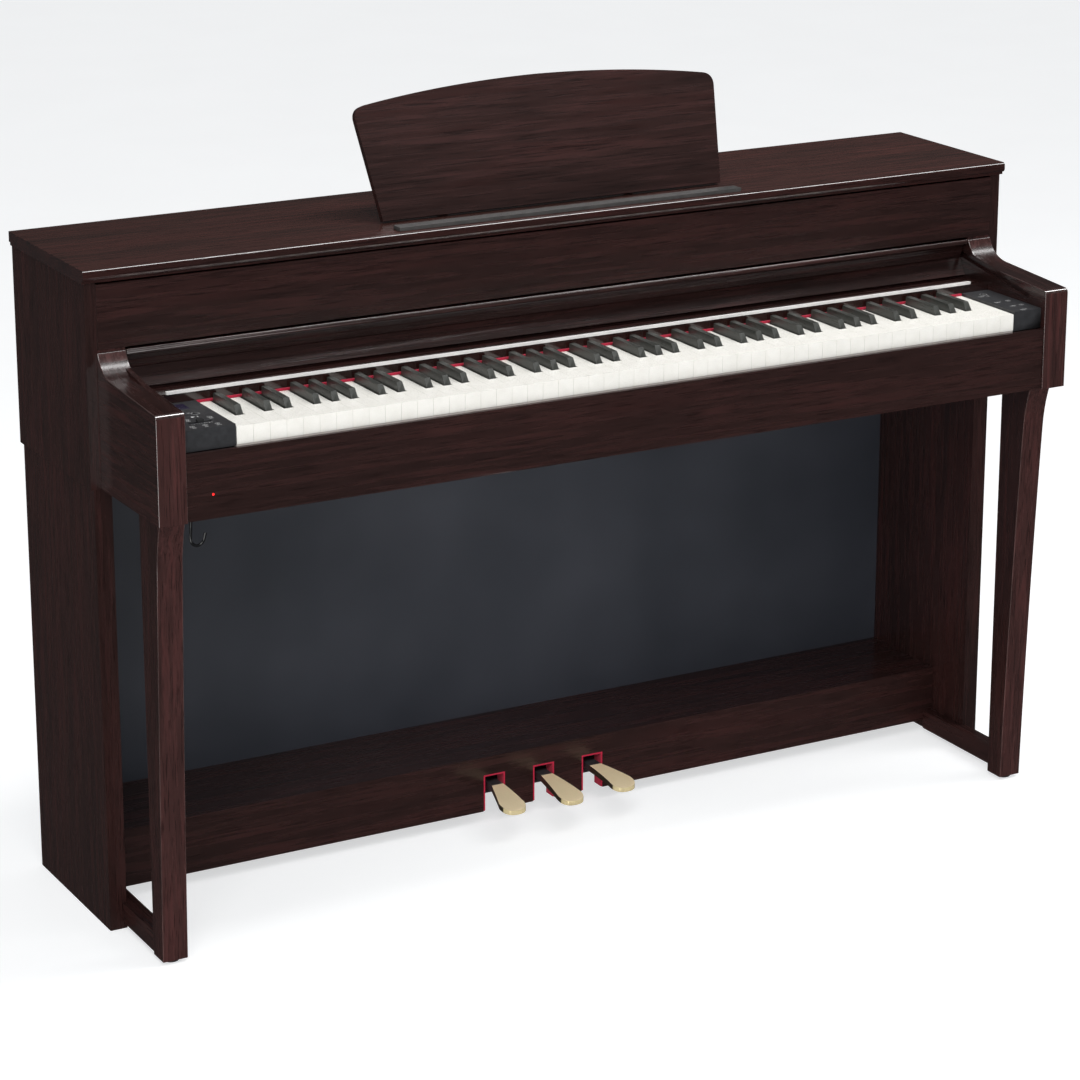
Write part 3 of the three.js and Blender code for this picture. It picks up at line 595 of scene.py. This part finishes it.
# The brow's crest is rounded more and takes the nose material, with its painted highlight.
crest = (lambda p: -18 < p.y < -17 and p.z > 784, 3.0, 2)
board = [WOOD_X, EDGES_PAINTED_HIGHLIGHT["X"], NOSES_PAINTED_HIGHLIGHT["X"], POLISHED]
refined("fallboard", board, 1.0, sort=fallboard_face, rim=1, first=crest)
for side in ("left", "right"):
    refined(side + "_upper_side", UPRIGHT, 1.2, rim=1)
    refined(side + "_stand_side", UPRIGHT, 1.4, rim=1)
    refined(side + "_toe_rail", INWARD, 1.2, rim=1)
    refined(side + "_cover_guide", WOOD_Y, 0.3, 2)


def wood_face(face):
    """0 on sides and tops, 1 on the rims towards the sides (painted highlight), 2 on what looks at the
    player (painted lighter, as if lit).
    """
    sideways, forwards = abs(face.normal.x), -face.normal.y
    if 0.15 < sideways < 0.97:
        return 1
    return 2 if forwards > 0.8 else 0


def add_leg(side):
    """A leg whose front edge sweeps in under the case and then runs slowly back to the toe."""
    low, high = box_of(side + "_front_leg")
    under_case, knee, shin, toe = (-197.5, 598), (-195.3, 560), (-180, 300), (-172.4, low.z)
    outline = [(high.y, high.z), (low.y, high.z)]
    outline += curve([outline[-1], under_case, knee], 16)
    outline += curve([knee, shin, toe], 16)
    bm = cushioned([*outline, (high.y, low.z)], low.x, high.x, 1.1)
    bm.normal_update()
    for face in bm.faces:
        face.material_index = wood_face(face)
    finished(bm, side + "_front_leg.look", [*UPRIGHT, WOOD_FRONT_PAINTED_LIT], "root", [side + "_front_leg"])


def on_slope(back, above):
    """The (y, z) of a point that lies so far back along the key cover's path, and so far above it."""
    y = COVER_Y + back * math.cos(COVER_SLOPE) - above * math.sin(COVER_SLOPE)
    return y, COVER_Z + back * math.sin(COVER_SLOPE) + above * math.cos(COVER_SLOPE)


def arm_side(low):
    """The side view of an arm's front: its rounded nose, its slope and its swept shoulder.

    The shoulder's curve leaves its first points out, where it would be too tight to be cushioned."""
    sweep, crowded = (-86, ARM_SWEEP), 3
    outline = [(ARM_REAR, low.z), (ARM_REAR, ARM_SHOULDER)]
    fall = [outline[-1], (ARM_REAR - 5, ARM_SHOULDER), (ARM_REAR - 6, ARM_SWEEP + 0.5), sweep]
    outline += curve(fall, 24)[crowded:]
    outline.append((low.y + ARM_NOSE, ARM_TOP))
    outline += curve([outline[-1], (low.y, ARM_TOP), (low.y, ARM_TOP - ARM_NOSE)], 10)
    return [*outline, (low.y, low.z)]


def tail_side(low, high):
    """The side view of an arm's tail, inside the case, stepped round the upper front panel."""
    panel_rear, panel_top, lap = -17.5, 818.3, 800
    start, stop = ARM_REAR - 1, ARM_REAR + ROOM
    floor = [(start, low.z), (high.y, low.z), (high.y, high.z), (panel_rear, high.z)]
    return [*floor, (panel_rear, panel_top), (stop, panel_top), (stop, lap), (start, lap)]


def guide_side():
    """The side view of the pocket that holds a guide of the key cover."""
    front, rear, under, over = -182 - ROOM, 190 + ROOM, -4 - ROOM, 13.5 + ROOM
    return [on_slope(*corner) for corner in rectangle((front, rear), (under, over))]


def add_arm(side, sign):
    """An arm with a rounded nose and a swept shoulder, cut for the guide of the key cover."""
    low, high = box_of(side + "_arm")
    inner, outer = (low.x, high.x) if sign > 0 else (high.x, low.x)
    front = cushioned(arm_side(low), low.x, high.x, 0.9)
    tail = prism(bmesh.new(), tail_side(low, high), "X", inner, outer - TAIL_STEP * sign)
    whole = combined(front, tail, "UNION")
    guide = box_of(side + "_cover_guide")
    depth = (guide[1].x if sign > 0 else guide[0].x) + ROOM * sign
    pocket = prism(bmesh.new(), guide_side(), "X", inner - 5 * sign, depth)
    bm = combined(whole, pocket, "DIFFERENCE")
    bm.normal_update()
    for face in bm.faces:
        centre = face.calc_center_median() / MM
        ahead = centre.y < low.y + ARM_NOSE and centre.z > ARM_TOP - ARM_NOSE
        # Faces of the nose that look up and forward take the nose material, with its painted highlight.
        face.material_index = 3 if ahead and 0.2 < face.normal.z < 0.99 else wood_face(face)
    looks = [*INWARD, WOOD_FRONT_PAINTED_LIT, NOSES_PAINTED_HIGHLIGHT["Y"]]
    finished(bm, side + "_arm.look", looks, "root", [side + "_arm"])


for side, sign in (("left", -1), ("right", 1)):
    add_leg(side)
    add_arm(side, sign)
refined("music_rest", LENGTHWAYS, 1.3, 4, rim=1)
for node in ("lower_back_panel", "upper_back_panel"):
    refined(node, [PANEL, HARDBOARD], 0.8, sort=lambda face: int(face.normal.y > 0.5))
refined("keyboard_frame", MOULDED, 0.8, 2)
refined("music_ledge", LEDGE, 0.9, 3)
refined("main_circuit_board", LAMINATE, 0.3, 2)
refined("pedal_frame", STEEL, 0.5, 2)
for node in ("left_music_rest_stay", "right_music_rest_stay"):
    refined(node, STEEL, 0.6, 2)
refined("fallboard_trim_strip", BRIGHT, 0.8, 3)
refined("key_felt_strip", FELT, 0.7, 3)
refined("pedal_slot_felt", FELT, 0.5, 2)
# The lip's nose is rounded more and takes the nose material, with its painted highlight.
lip_nose = (lambda p: p.z > 806 and p.y < -35, 3.1, 2)
refined("key_cover_lip", [WOOD_X, EDGES_PAINTED_HIGHLIGHT["X"], NOSES_PAINTED_HIGHLIGHT["X"]], 0.9, rim=1, first=lip_nose)


# ---------------------------------------------------------------- keys
KEY_LEFT, KEY_PITCH, WHITES = -598.5, 23.5, 52
_, KEY_FRONT, _ = box_of("key_a0")[0]
_, KEY_REAR, KEY_TOP = box_of("key_a0")[1]
KEY_NECK, KEY_LOW, CORE_TOP, OVERHANG = -172.0, 717.4, 722.2, 0.9
_, SHARP_FRONT, SHARP_LOW = box_of("key_a_sharp0")[0]
SHARP_TOP = box_of("key_a_sharp0")[1].z
SHARP_REAR, SHARP_BEND, SHARP_SLANT = -94.5, 745.5, 8.5
SHARP_WIDE, SHARP_MIDDLE, SHARP_NARROW = 5.3, 4.85, 4.3
STICK_HALF, STICK_TALL = 4.5, 8.0
SLACK, SEAM = 0.15, 0.02
SINGLE_WHITES = 5
FIRST_KEY = 5  # an A, the sixth white key of its octave


def key_places():
    """Names and places of the keys.

    Each octave splits its rear into equal strips: five over C to E, and seven over F to B."""
    whites, sharps = [], []
    for octave in range(9):
        for names, start in (("cde", 0), ("fgab", 3)):
            strip = len(names) * KEY_PITCH / (2 * len(names) - 1)
            first = (octave * 7 + start - FIRST_KEY) * KEY_PITCH + KEY_LEFT
            for i, letter in enumerate(names):
                index = octave * 7 + start + i - FIRST_KEY
                if not 0 <= index < WHITES:
                    continue
                head = [KEY_LEFT + index * KEY_PITCH, KEY_LEFT + (index + 1) * KEY_PITCH]
                tail = [first + 2 * i * strip, first + (2 * i + 1) * strip]
                if index == 0:
                    tail[0] = head[0]
                if index == WHITES - 1:
                    tail[1] = head[1]
                whites.append((f"{letter}{octave}", head, tail))
                if i < len(names) - 1 and index < WHITES - 1:
                    sharps.append((f"{letter}_sharp{octave}", first + (2 * i + 1.5) * strip))
    return whites, sharps


def white_key(bm, head, tail):
    """One white key: a wooden core with a moulded top that overhangs it at the front."""
    h0, h1 = head[0] + SLACK, head[1] - SLACK
    t0, t1 = max(tail[0] + SLACK, h0), min(tail[1] - SLACK, h1)
    core = (KEY_FRONT + OVERHANG, KEY_LOW, CORE_TOP, 1, 0.3)
    top = (KEY_FRONT, CORE_TOP + SEAM, KEY_TOP, 0, 0.6)
    for front, low, high, index, width in (core, top):
        outline = [(h0, front), (h1, front), (h1, KEY_NECK)]
        if t1 < h1:
            outline.append((t1, KEY_NECK))
        outline += [(t1, KEY_REAR), (t0, KEY_REAR)]
        if t0 > h0:
            outline.append((t0, KEY_NECK))
        outline.append((h0, KEY_NECK))
        part = prism(bmesh.new(), outline, "Z", low, high)
        bmesh.ops.recalc_face_normals(part, faces=part.faces)
        soften(part, width)
        absorb(bm, part, index)


def black_key(bm, centre):
    """One black key: a tapered cap with a sloped front on a narrow stick."""
    cap = bmesh.new()
    for y, z, half in (
        (SHARP_FRONT, SHARP_LOW, SHARP_WIDE),
        (SHARP_FRONT, SHARP_BEND, SHARP_MIDDLE),
        (SHARP_FRONT + SHARP_SLANT, SHARP_TOP, SHARP_NARROW),
        (SHARP_REAR, SHARP_TOP, SHARP_NARROW),
        (SHARP_REAR, SHARP_LOW, SHARP_WIDE),
    ):
        for sign in (-1, 1):
            cap.verts.new(Vector((centre + sign * half, y, z)) * MM)
    bmesh.ops.convex_hull(cap, input=cap.verts)
    bmesh.ops.dissolve_limit(cap, angle_limit=STRAIGHT, verts=cap.verts, edges=cap.edges)
    bmesh.ops.recalc_face_normals(cap, faces=cap.faces)
    soften(cap, 1.15, 4)
    absorb(bm, cap)
    wide = (centre - STICK_HALF, centre + STICK_HALF)
    rounded_block(bm, wide, (SHARP_REAR + SEAM, KEY_REAR), (SHARP_LOW, SHARP_LOW + STICK_TALL), 0.4, 2)


def add_keys():
    """All 88 keys: each hinged one on its own body, and the others in two fixed banks."""
    whites, sharps = key_places()
    edge = whites[SINGLE_WHITES][1][0]
    bank = bmesh.new()
    for i, (name, head, tail) in enumerate(whites):
        if i >= SINGLE_WHITES:
            white_key(bank, head, tail)
            continue
        single = bmesh.new()
        white_key(single, head, tail)
        node = "key_" + name
        finished(single, node + ".look", [IVORY, KEY_CORE], node, [node])
    finished(bank, "white_keys.look", [IVORY, KEY_CORE], "root", ["white_keys"])
    bank = bmesh.new()
    for name, centre in sharps:
        if centre > edge:
            black_key(bank, centre)
            continue
        single = bmesh.new()
        black_key(single, centre)
        node = "key_" + name
        finished(single, node + ".look", EBONY, node, [node])
    finished(bank, "black_keys.look", EBONY, "root", ["black_keys"])


add_keys()


# ---------------------------------------------------------------- pedals
def add_pedal(node):
    """A brass tongue with a satin top, a polished rim and sides painted dark as shade, on a black lever."""
    low = box_of(node)[0]
    brass_end, tip = 41, low.y + 12
    bm = whole_faces(frame["nodes"][node])
    soften(bm, 1.3, 4)
    parts = [*bm.verts, *bm.edges, *bm.faces]
    bmesh.ops.bisect_plane(bm, geom=parts, plane_co=(0, brass_end * MM, 0), plane_no=(0, 1, 0))
    bm.normal_update()
    for face in bm.faces:
        y = face.calc_center_median().y / MM
        if y > brass_end:
            face.material_index = 3
        elif face.normal.z > 0.93:
            face.material_index = 0
        elif y < tip or face.normal.z > 0.2:
            face.material_index = 1
        else:
            face.material_index = 2
    finished(bm, node + ".look", [BRASS_TOP, BRASS_EDGE, BRASS_PAINTED_SHADE_SIDE, MOULDED], node, [node])


for node in ("left_pedal", "centre_pedal", "right_pedal"):
    add_pedal(node)


def add_pedal_blocks():
    """Dark blocks that close the pedal box on both sides of the pedal frame."""
    gap, reach = 6, 22
    low, high = box_of("pedal_frame")
    shelf = box_of("pedal_box_shelf")[0].z
    places = {"left": (low.x - reach, low.x - gap), "right": (high.x + gap, high.x + reach)}
    for side, x in places.items():
        block = rounded_block(bmesh.new(), x, (72, 208), (24, shelf - 0.4), 1.0)
        finished(block, side + "_pedal_block", WOOD_Y, "root")


add_pedal_blocks()


# ---------------------------------------------------------------- controls on the blocks
BLOCK_TOP = box_of("left_cheek_block")[1].z
for node in ("left_cheek_block", "right_cheek_block"):
    refined(node, MOULDED, 0.8, 3)
refined("display_window", DISPLAY, 0.3, 2)


def add_button(node):
    """A round button with an eased rim and a slightly dished top."""
    low, high = box_of(node)
    x, y, _ = middle(low, high)
    radius, foot, top = (high.x - low.x) / 2, low.z, high.z
    profile = [(0, foot), (radius - 0.3, foot), (radius, foot + 0.3)]
    profile += [(radius, top - 0.7), (radius - 0.2, top - 0.3), (radius - 0.7, top)]
    profile += [(radius - 1.4, top), (radius - 2.2, top - 0.25), (0, top - 0.45)]
    finished(lathe(bmesh.new(), profile, (x, y, 0)), node + ".look", KNOB, node, [node])


add_button("menu_button")
add_button("power_button")


def add_slider():
    """A ribbed cap on a stem that stands in the slider's slot."""
    x = middle(*box_of("volume_slider")).x
    bm = bmesh.new()
    rounded_block(bm, (x - 3, x + 3), (-191.2, -188.8), (BLOCK_TOP - 4, BLOCK_TOP + 1.2), 0.3, 2)
    rounded_block(bm, (x - 4.5, x + 4.5), (-193, -187), (BLOCK_TOP + 0.5, BLOCK_TOP + 4.2), 0.8, 3)
    for rib in (x - 2.4, x, x + 2.4):
        sides = (rib - 0.5, rib + 0.5), (-192.6, -187.4), (BLOCK_TOP + 4.0, BLOCK_TOP + 5.0)
        rounded_block(bm, *sides, 0.3, 2)
    finished(bm, "volume_slider.look", KNOB, "volume_slider", ["volume_slider"])


add_slider()


def add_marks():
    """Plain printed marks round the controls: dots, bars and triangles, with no lettering."""
    bm = bmesh.new()
    low, high = BLOCK_TOP + 0.01, BLOCK_TOP + 0.06

    def bar(x, y, wide, deep):
        sides = (x - wide / 2, x + wide / 2), (y - deep / 2, y + deep / 2)
        prism(bm, rectangle(*sides), "Z", low, high)

    def dot(x, y, radius):
        lathe(bm, [(0, low), (radius, low), (radius, high), (0, high)], (x, y, 0), steps=20)

    def ring(x, y, radius, wide):
        lathe_ring(bm, radius, wide, (x, y), low, high)

    def touch_point(x, y):
        ring(x, y, 3.3, 0.5)
        dot(x, y, 0.8)

    def triangle(x, y, size):
        back, half = x - size * 0.5, size * 0.6
        prism(bm, [(back, y - half), (back, y + half), (x + half, y)], "Z", low, high)

    # left block: touch points with their labels, and the slider's scale
    ring(-625, -150, 5.6, 0.5)
    bar(-632.5, -144.6, 4.4, 0.9)
    triangle(-634.5, -164, 5.0)
    bar(-628.2, -164, 1.0, 5.2)
    rear_row = (-173.8, -180.2, ((-615.6, 5.4), (-647.5, 6.4)))
    front_row = (-206.5, -213.4, ((-619, 6.0), (-636.3, 4.2), (-653.5, 5.6)))
    for point_y, label_y, labels in (rear_row, front_row):
        for x, wide in labels:
            touch_point(x, point_y)
            bar(x, label_y, wide, 0.9)
    for k in range(9):
        bar(-650 + 3.5 * k, -197.2, 0.5, 1.4 + 0.25 * k)
    # right block: the power mark and four label bars
    ring(648, -112, 5.6, 0.5)
    ring(648, -123.5, 1.9, 0.45)
    bar(648, -121.6, 0.5, 2.4)
    for x, y in ((633.5, -120.9), (634, -160.4), (640.6, -188.6), (641.7, -213.0)):
        for k in range(3):
            bar(x + 4.2 * k, y, 3.0, 0.9)
        bar(x + 3.0, y - 2.6, 7.6, 0.6)
    for x, y in ((657, -160.4), (660, -188.6)):
        touch_point(x, y)
    finished(bm, "control_marks", MARK, "root")


add_marks()


def add_segments():
    """Generic bars shown by the display."""
    bm = bmesh.new()
    low, high, half, gap = BLOCK_TOP + 0.11, BLOCK_TOP + 0.15, 0.8, 1.6
    for y, bars in ((-106, (6, 4, 8)), (-113, (9, 5)), (-119.5, (4, 4, 4, 4))):
        x = -655.0
        for wide in bars:
            prism(bm, rectangle((x, x + wide), (y - half, y + half)), "Z", low, high)
            x += wide + gap
    finished(bm, "display_bars", SEGMENT, "root")


add_segments()


# ---------------------------------------------------------------- round and small pieces
SCREW_HEIGHT = 1.3
CLEAR = 0.05
INLET = middle(*box_of("power_inlet"))


def add_glide(side):
    """The round foot under a leg."""
    node = side + "_leg_glide"
    low, high = box_of(node)
    x, y, _ = middle(low, high)
    top = high.z
    profile = [(0, 0), (9.6, 0), (10.6, 0.5), (11, 1.4), (11, 3.2), (10.4, top), (0, top)]
    finished(lathe(bmesh.new(), profile, (x, y, 0)), node + ".look", FOOT, "root", [node])


def add_speaker(side):
    """A driver that fires down: frame, rubber roll, paper cone, dust cap and magnet."""
    low, high = box_of(side + "_speaker")
    x, y, _ = middle(low, high)
    cone_radius, soft_radius, soft_top = 55, 62.5, low.z + 26
    shape = [(0, 17), (6, 17.6), (11, 19.2), (15, 22), (16.5, 24.5)]  # dust cap
    shape += [(17.5, 24.6), (55.0, 5.6)]  # cone
    shape += [(56.2, 4.2), (57.8, 3.1), (59.6, 3.1), (61.2, 4.0), (62.4, 4.4)]  # rubber roll
    shape += [(63.5, 1.2), (64.5, 0.1), (74.2, 0.1), (75, 0.8), (75, 4.4), (74.2, 5)]  # rim
    shape += [(66, 8), (32, 37), (30.5, 38), (43, 38), (44, 39), (44, 61), (43, 62), (0, 62)]  # magnet
    profile = [(radius, low.z + height) for radius, height in shape]
    bm = lathe(bmesh.new(), profile, (x, y, 0), steps=64)
    for face in bm.faces:
        centre = face.calc_center_median() / MM
        radius = math.hypot(centre.x - x, centre.y - y)
        soft = radius < soft_radius and centre.z < soft_top
        face.material_index = int(radius > cone_radius) if soft else 2
    finished(bm, side + "_speaker.look", [PAPER, SURROUND, STEEL], "root", [side + "_speaker"])
    trim = bmesh.new()
    ring_radius, ring_wide, ring_low, ring_high = 61.8, 1.6, 630.9, 632.6
    lathe_ring(trim, ring_radius, ring_wide, (x, y), ring_low, ring_high, 64)
    finished(trim, side + "_speaker_ring", MOULDED, "root")


def add_screw(bm, x, y, z):
    """A pan head, its back against a panel that faces +Y."""
    top = y + SCREW_HEIGHT
    profile = [(0, y), (4.0, y), (4.0, y + 0.455), (3.2, y + 1.04), (1.8, top), (0, top)]
    lathe(bm, profile, (x, 0, z), "Y", 20)


def add_screws():
    """Rows of screws along the edges of both back panels, with black cross shapes on their heads as painted
    shade for the recesses.
    """
    bm = bmesh.new()
    cross_shade = bmesh.new()
    lower, upper = [box_of(row + "_back_panel")[1].y + CLEAR for row in ("lower", "upper")]
    spread = range(-660, 661, 165)
    spots = [(x, lower, z) for z in (33, 618) for x in spread]
    spots += [(x, lower, z) for x in (-687, 687) for z in range(120, 560, 100)]
    spots += [(x, upper, z) for z in (642, 900) for x in spread if abs(x - INLET.x) > 40 or z > 700]
    spots += [(x, upper, z) for x in (-700, 700) for z in (720, 800)]
    for x, y, z in spots:
        add_screw(bm, x, y, z)
        top = y + SCREW_HEIGHT
        # A black cross on each head is painted shade standing in for its recess.
        for wide, tall in ((1.9, 0.45), (0.45, 1.9)):
            slot = rectangle((x - wide, x + wide), (z - tall, z + tall))
            prism(cross_shade, slot, "Y", top - 0.02, top + 0.04)
    finished(bm, "back_screws", ZINC, "root")
    finished(cross_shade, "back_screw_cross_painted_shade", GLOSSY, "root")


def add_jacks():
    """The headphone jacks with their metal collars, and the power inlet with its pin."""
    refined("headphone_jack_box", MOULDED, 0.8, 3)
    low, high = box_of("headphone_jack_box")
    centre = middle(low, high)
    bm = bmesh.new()
    for x in (centre.x - 12, centre.x + 12):
        lathe_ring(bm, 5.0, 1.7, (x, centre.z), low.y - 1.3, low.y - CLEAR, 40, "Y")
    finished(bm, "jack_collars", STEEL, "root")
    refined("power_inlet", MOULDED, 0.6, 3)
    profile = [(0, 204.6), (1.0, 204.6), (1.0, 214.4), (0.6, 215.4), (0, 215.6)]
    pin = lathe(bmesh.new(), profile, (INLET.x, 0, INLET.z), "Y", 20)
    finished(pin, "power_pin", STEEL, "root")


def add_hook():
    """A bent wire hook on a plate with two screws, under the key bed."""
    top = box_of("headphone_hook")[1].z
    route = [(-655, -196, top - 1.0), (-656, -198, top - 16), (-658, -202, top - 34), (-651, -203, top - 41)]
    route += [(-642, -203, top - 37), (-638, -203, top - 25)]
    bm = tube(bmesh.new(), smooth_path(route, 9), 2.0, 18)
    rounded_block(bm, (-664, -646), (-204, -188), (top - 3, top), 0.6, 3)
    head = [(0, top - 3.9), (1.2, top - 3.9), (2.0, top - 3.5), (2.2, top - 3.02), (0, top - 3.02)]
    for x in (-660.5, -649.5):
        lathe(bm, head, (x, -191.4, 0), steps=20)
    finished(bm, "headphone_hook.look", GLOSSY, "root", ["headphone_hook"])


def add_lamp():
    """The red lamp's domed lens."""
    low, high = box_of("power_lamp")
    x, _, z = middle(low, high)
    front, rear = low.y, high.y
    profile = [(0, front), (0.8, front + 0.08), (1.4, front + 0.35)]
    profile += [(1.6, front + 0.8), (1.6, rear), (0, rear)]
    lens = lathe(bmesh.new(), profile, (x, 0, z), "Y", 28)
    finished(lens, "power_lamp.look", LAMP, "root", ["power_lamp"])


for side in ("left", "right"):
    add_glide(side)
    add_speaker(side)
add_screws()
add_jacks()
add_hook()
add_lamp()


# ---------------------------------------------------------------- floor, light and camera
AMBIENT, GLOSS_AMBIENT = 0.48, 0.035
FLOOR_REACH = 12.0
CAMERA_PLACE, CAMERA_LENS, CAMERA_SHIFT = (-2.26416, -4.04246, 1.92839), 112.88733, -0.10
YAW, PITCH = math.radians(28.87), math.radians(-15.99)


def add_floor():
    """A pale floor that isn't seen in reflections."""
    bm = bmesh.new()
    bmesh.ops.create_grid(bm, x_segments=1, y_segments=1, size=FLOOR_REACH)
    mesh = bpy.data.meshes.new("floor")
    bm.to_mesh(mesh)
    bm.free()
    floor = bpy.data.objects.new("floor", mesh)
    bpy.context.scene.collection.objects.link(floor)
    floor.visible_glossy = False
    glow = {"Emission_Color": (0.98, 0.99, 1.0, 1.0), "Emission_Strength": 0.62}
    pale = plain("pale_floor", (0.54, 0.54, 0.54), (0.56, 0.56, 0.56), 40.0, (0.75, 0.85), **glow)
    mesh.materials.append(pale)


def add_light(name, place, aim, size, power, sheen_only=False):
    """A rectangular light. A sheen-only one shows in glossy reflections and lights nothing else."""
    data = bpy.data.lights.new(name, "AREA")
    data.shape = "RECTANGLE"
    data.size, data.size_y = size
    data.energy = power
    lamp = bpy.data.objects.new(name, data)
    lamp.location = place
    lamp.rotation_mode = "QUATERNION"
    lamp.rotation_quaternion = (Vector(aim) - Vector(place)).to_track_quat("-Z", "Y")
    lamp.visible_camera = False
    lamp.visible_diffuse = not sheen_only
    bpy.context.scene.collection.objects.link(lamp)


def add_world():
    """Even pale light, white to the camera and dim in reflections, as in a studio with dark flags."""
    world = bpy.data.worlds.new("studio")
    world.use_nodes = True
    tree = world.node_tree
    soft = tree.nodes["Background"]
    soft.inputs["Color"].default_value = (0.96, 0.98, 1.0, 1.0)
    path = tree.nodes.new("ShaderNodeLightPath")
    gloss = tree.nodes.new("ShaderNodeMapRange")
    gloss.inputs["To Min"].default_value = AMBIENT
    gloss.inputs["To Max"].default_value = GLOSS_AMBIENT
    seen = tree.nodes.new("ShaderNodeMath")
    seen.operation = "MAXIMUM"
    tree.links.new(path.outputs["Is Glossy Ray"], gloss.inputs["Value"])
    tree.links.new(gloss.outputs["Result"], seen.inputs[0])
    tree.links.new(path.outputs["Is Camera Ray"], seen.inputs[1])
    tree.links.new(seen.outputs["Value"], soft.inputs["Strength"])
    bpy.context.scene.world = world


def add_camera():
    """The photograph's view: from the player's left, above the keys and far off."""
    data = bpy.data.cameras.new("camera")
    data.sensor_width = 36.0
    data.lens = CAMERA_LENS
    data.shift_y = CAMERA_SHIFT
    data.clip_end = 60.0
    camera = bpy.data.objects.new("camera", data)
    level = Vector((math.sin(YAW), math.cos(YAW), 0)) * math.cos(PITCH)
    ahead = level + Vector((0, 0, math.sin(PITCH)))
    camera.location = CAMERA_PLACE
    camera.rotation_mode = "QUATERNION"
    camera.rotation_quaternion = ahead.to_track_quat("-Z", "Y")
    bpy.context.scene.collection.objects.link(camera)
    bpy.context.scene.camera = camera


add_floor()
add_light("overhead", (0.2, 0.0, 3.3), (0.2, 0.0, 0), (3.2, 2.2), 7.0)
strip = ((1.3, -0.55, 3.2), (1.3, -0.1, 0.8), (2.8, 0.6))
add_light("strip", *strip, 60.0)
add_light("front", (-1.5, -2.6, 2.9), (0.1, 0, 0.6), (2.2, 1.4), 51.0)
add_light("side", (-3.3, -1.5, 0.7), (-0.7, -0.1, 0.5), (0.8, 1.8), 11.0)
add_light("pedals", (0.05, -0.28, 0.60), (0.02, -0.12, 0.1), (0.5, 0.15), 1.1)
add_light("strip_sheen", *strip, 120.0, sheen_only=True)
add_light("side_sheen", (-1.6, -1.1, 0.42), (-0.753, -0.621, 0.42), (1.6, 0.8), 9.0, sheen_only=True)
add_world()
add_camera()
bpy.context.scene.view_settings.view_transform = "Standard"
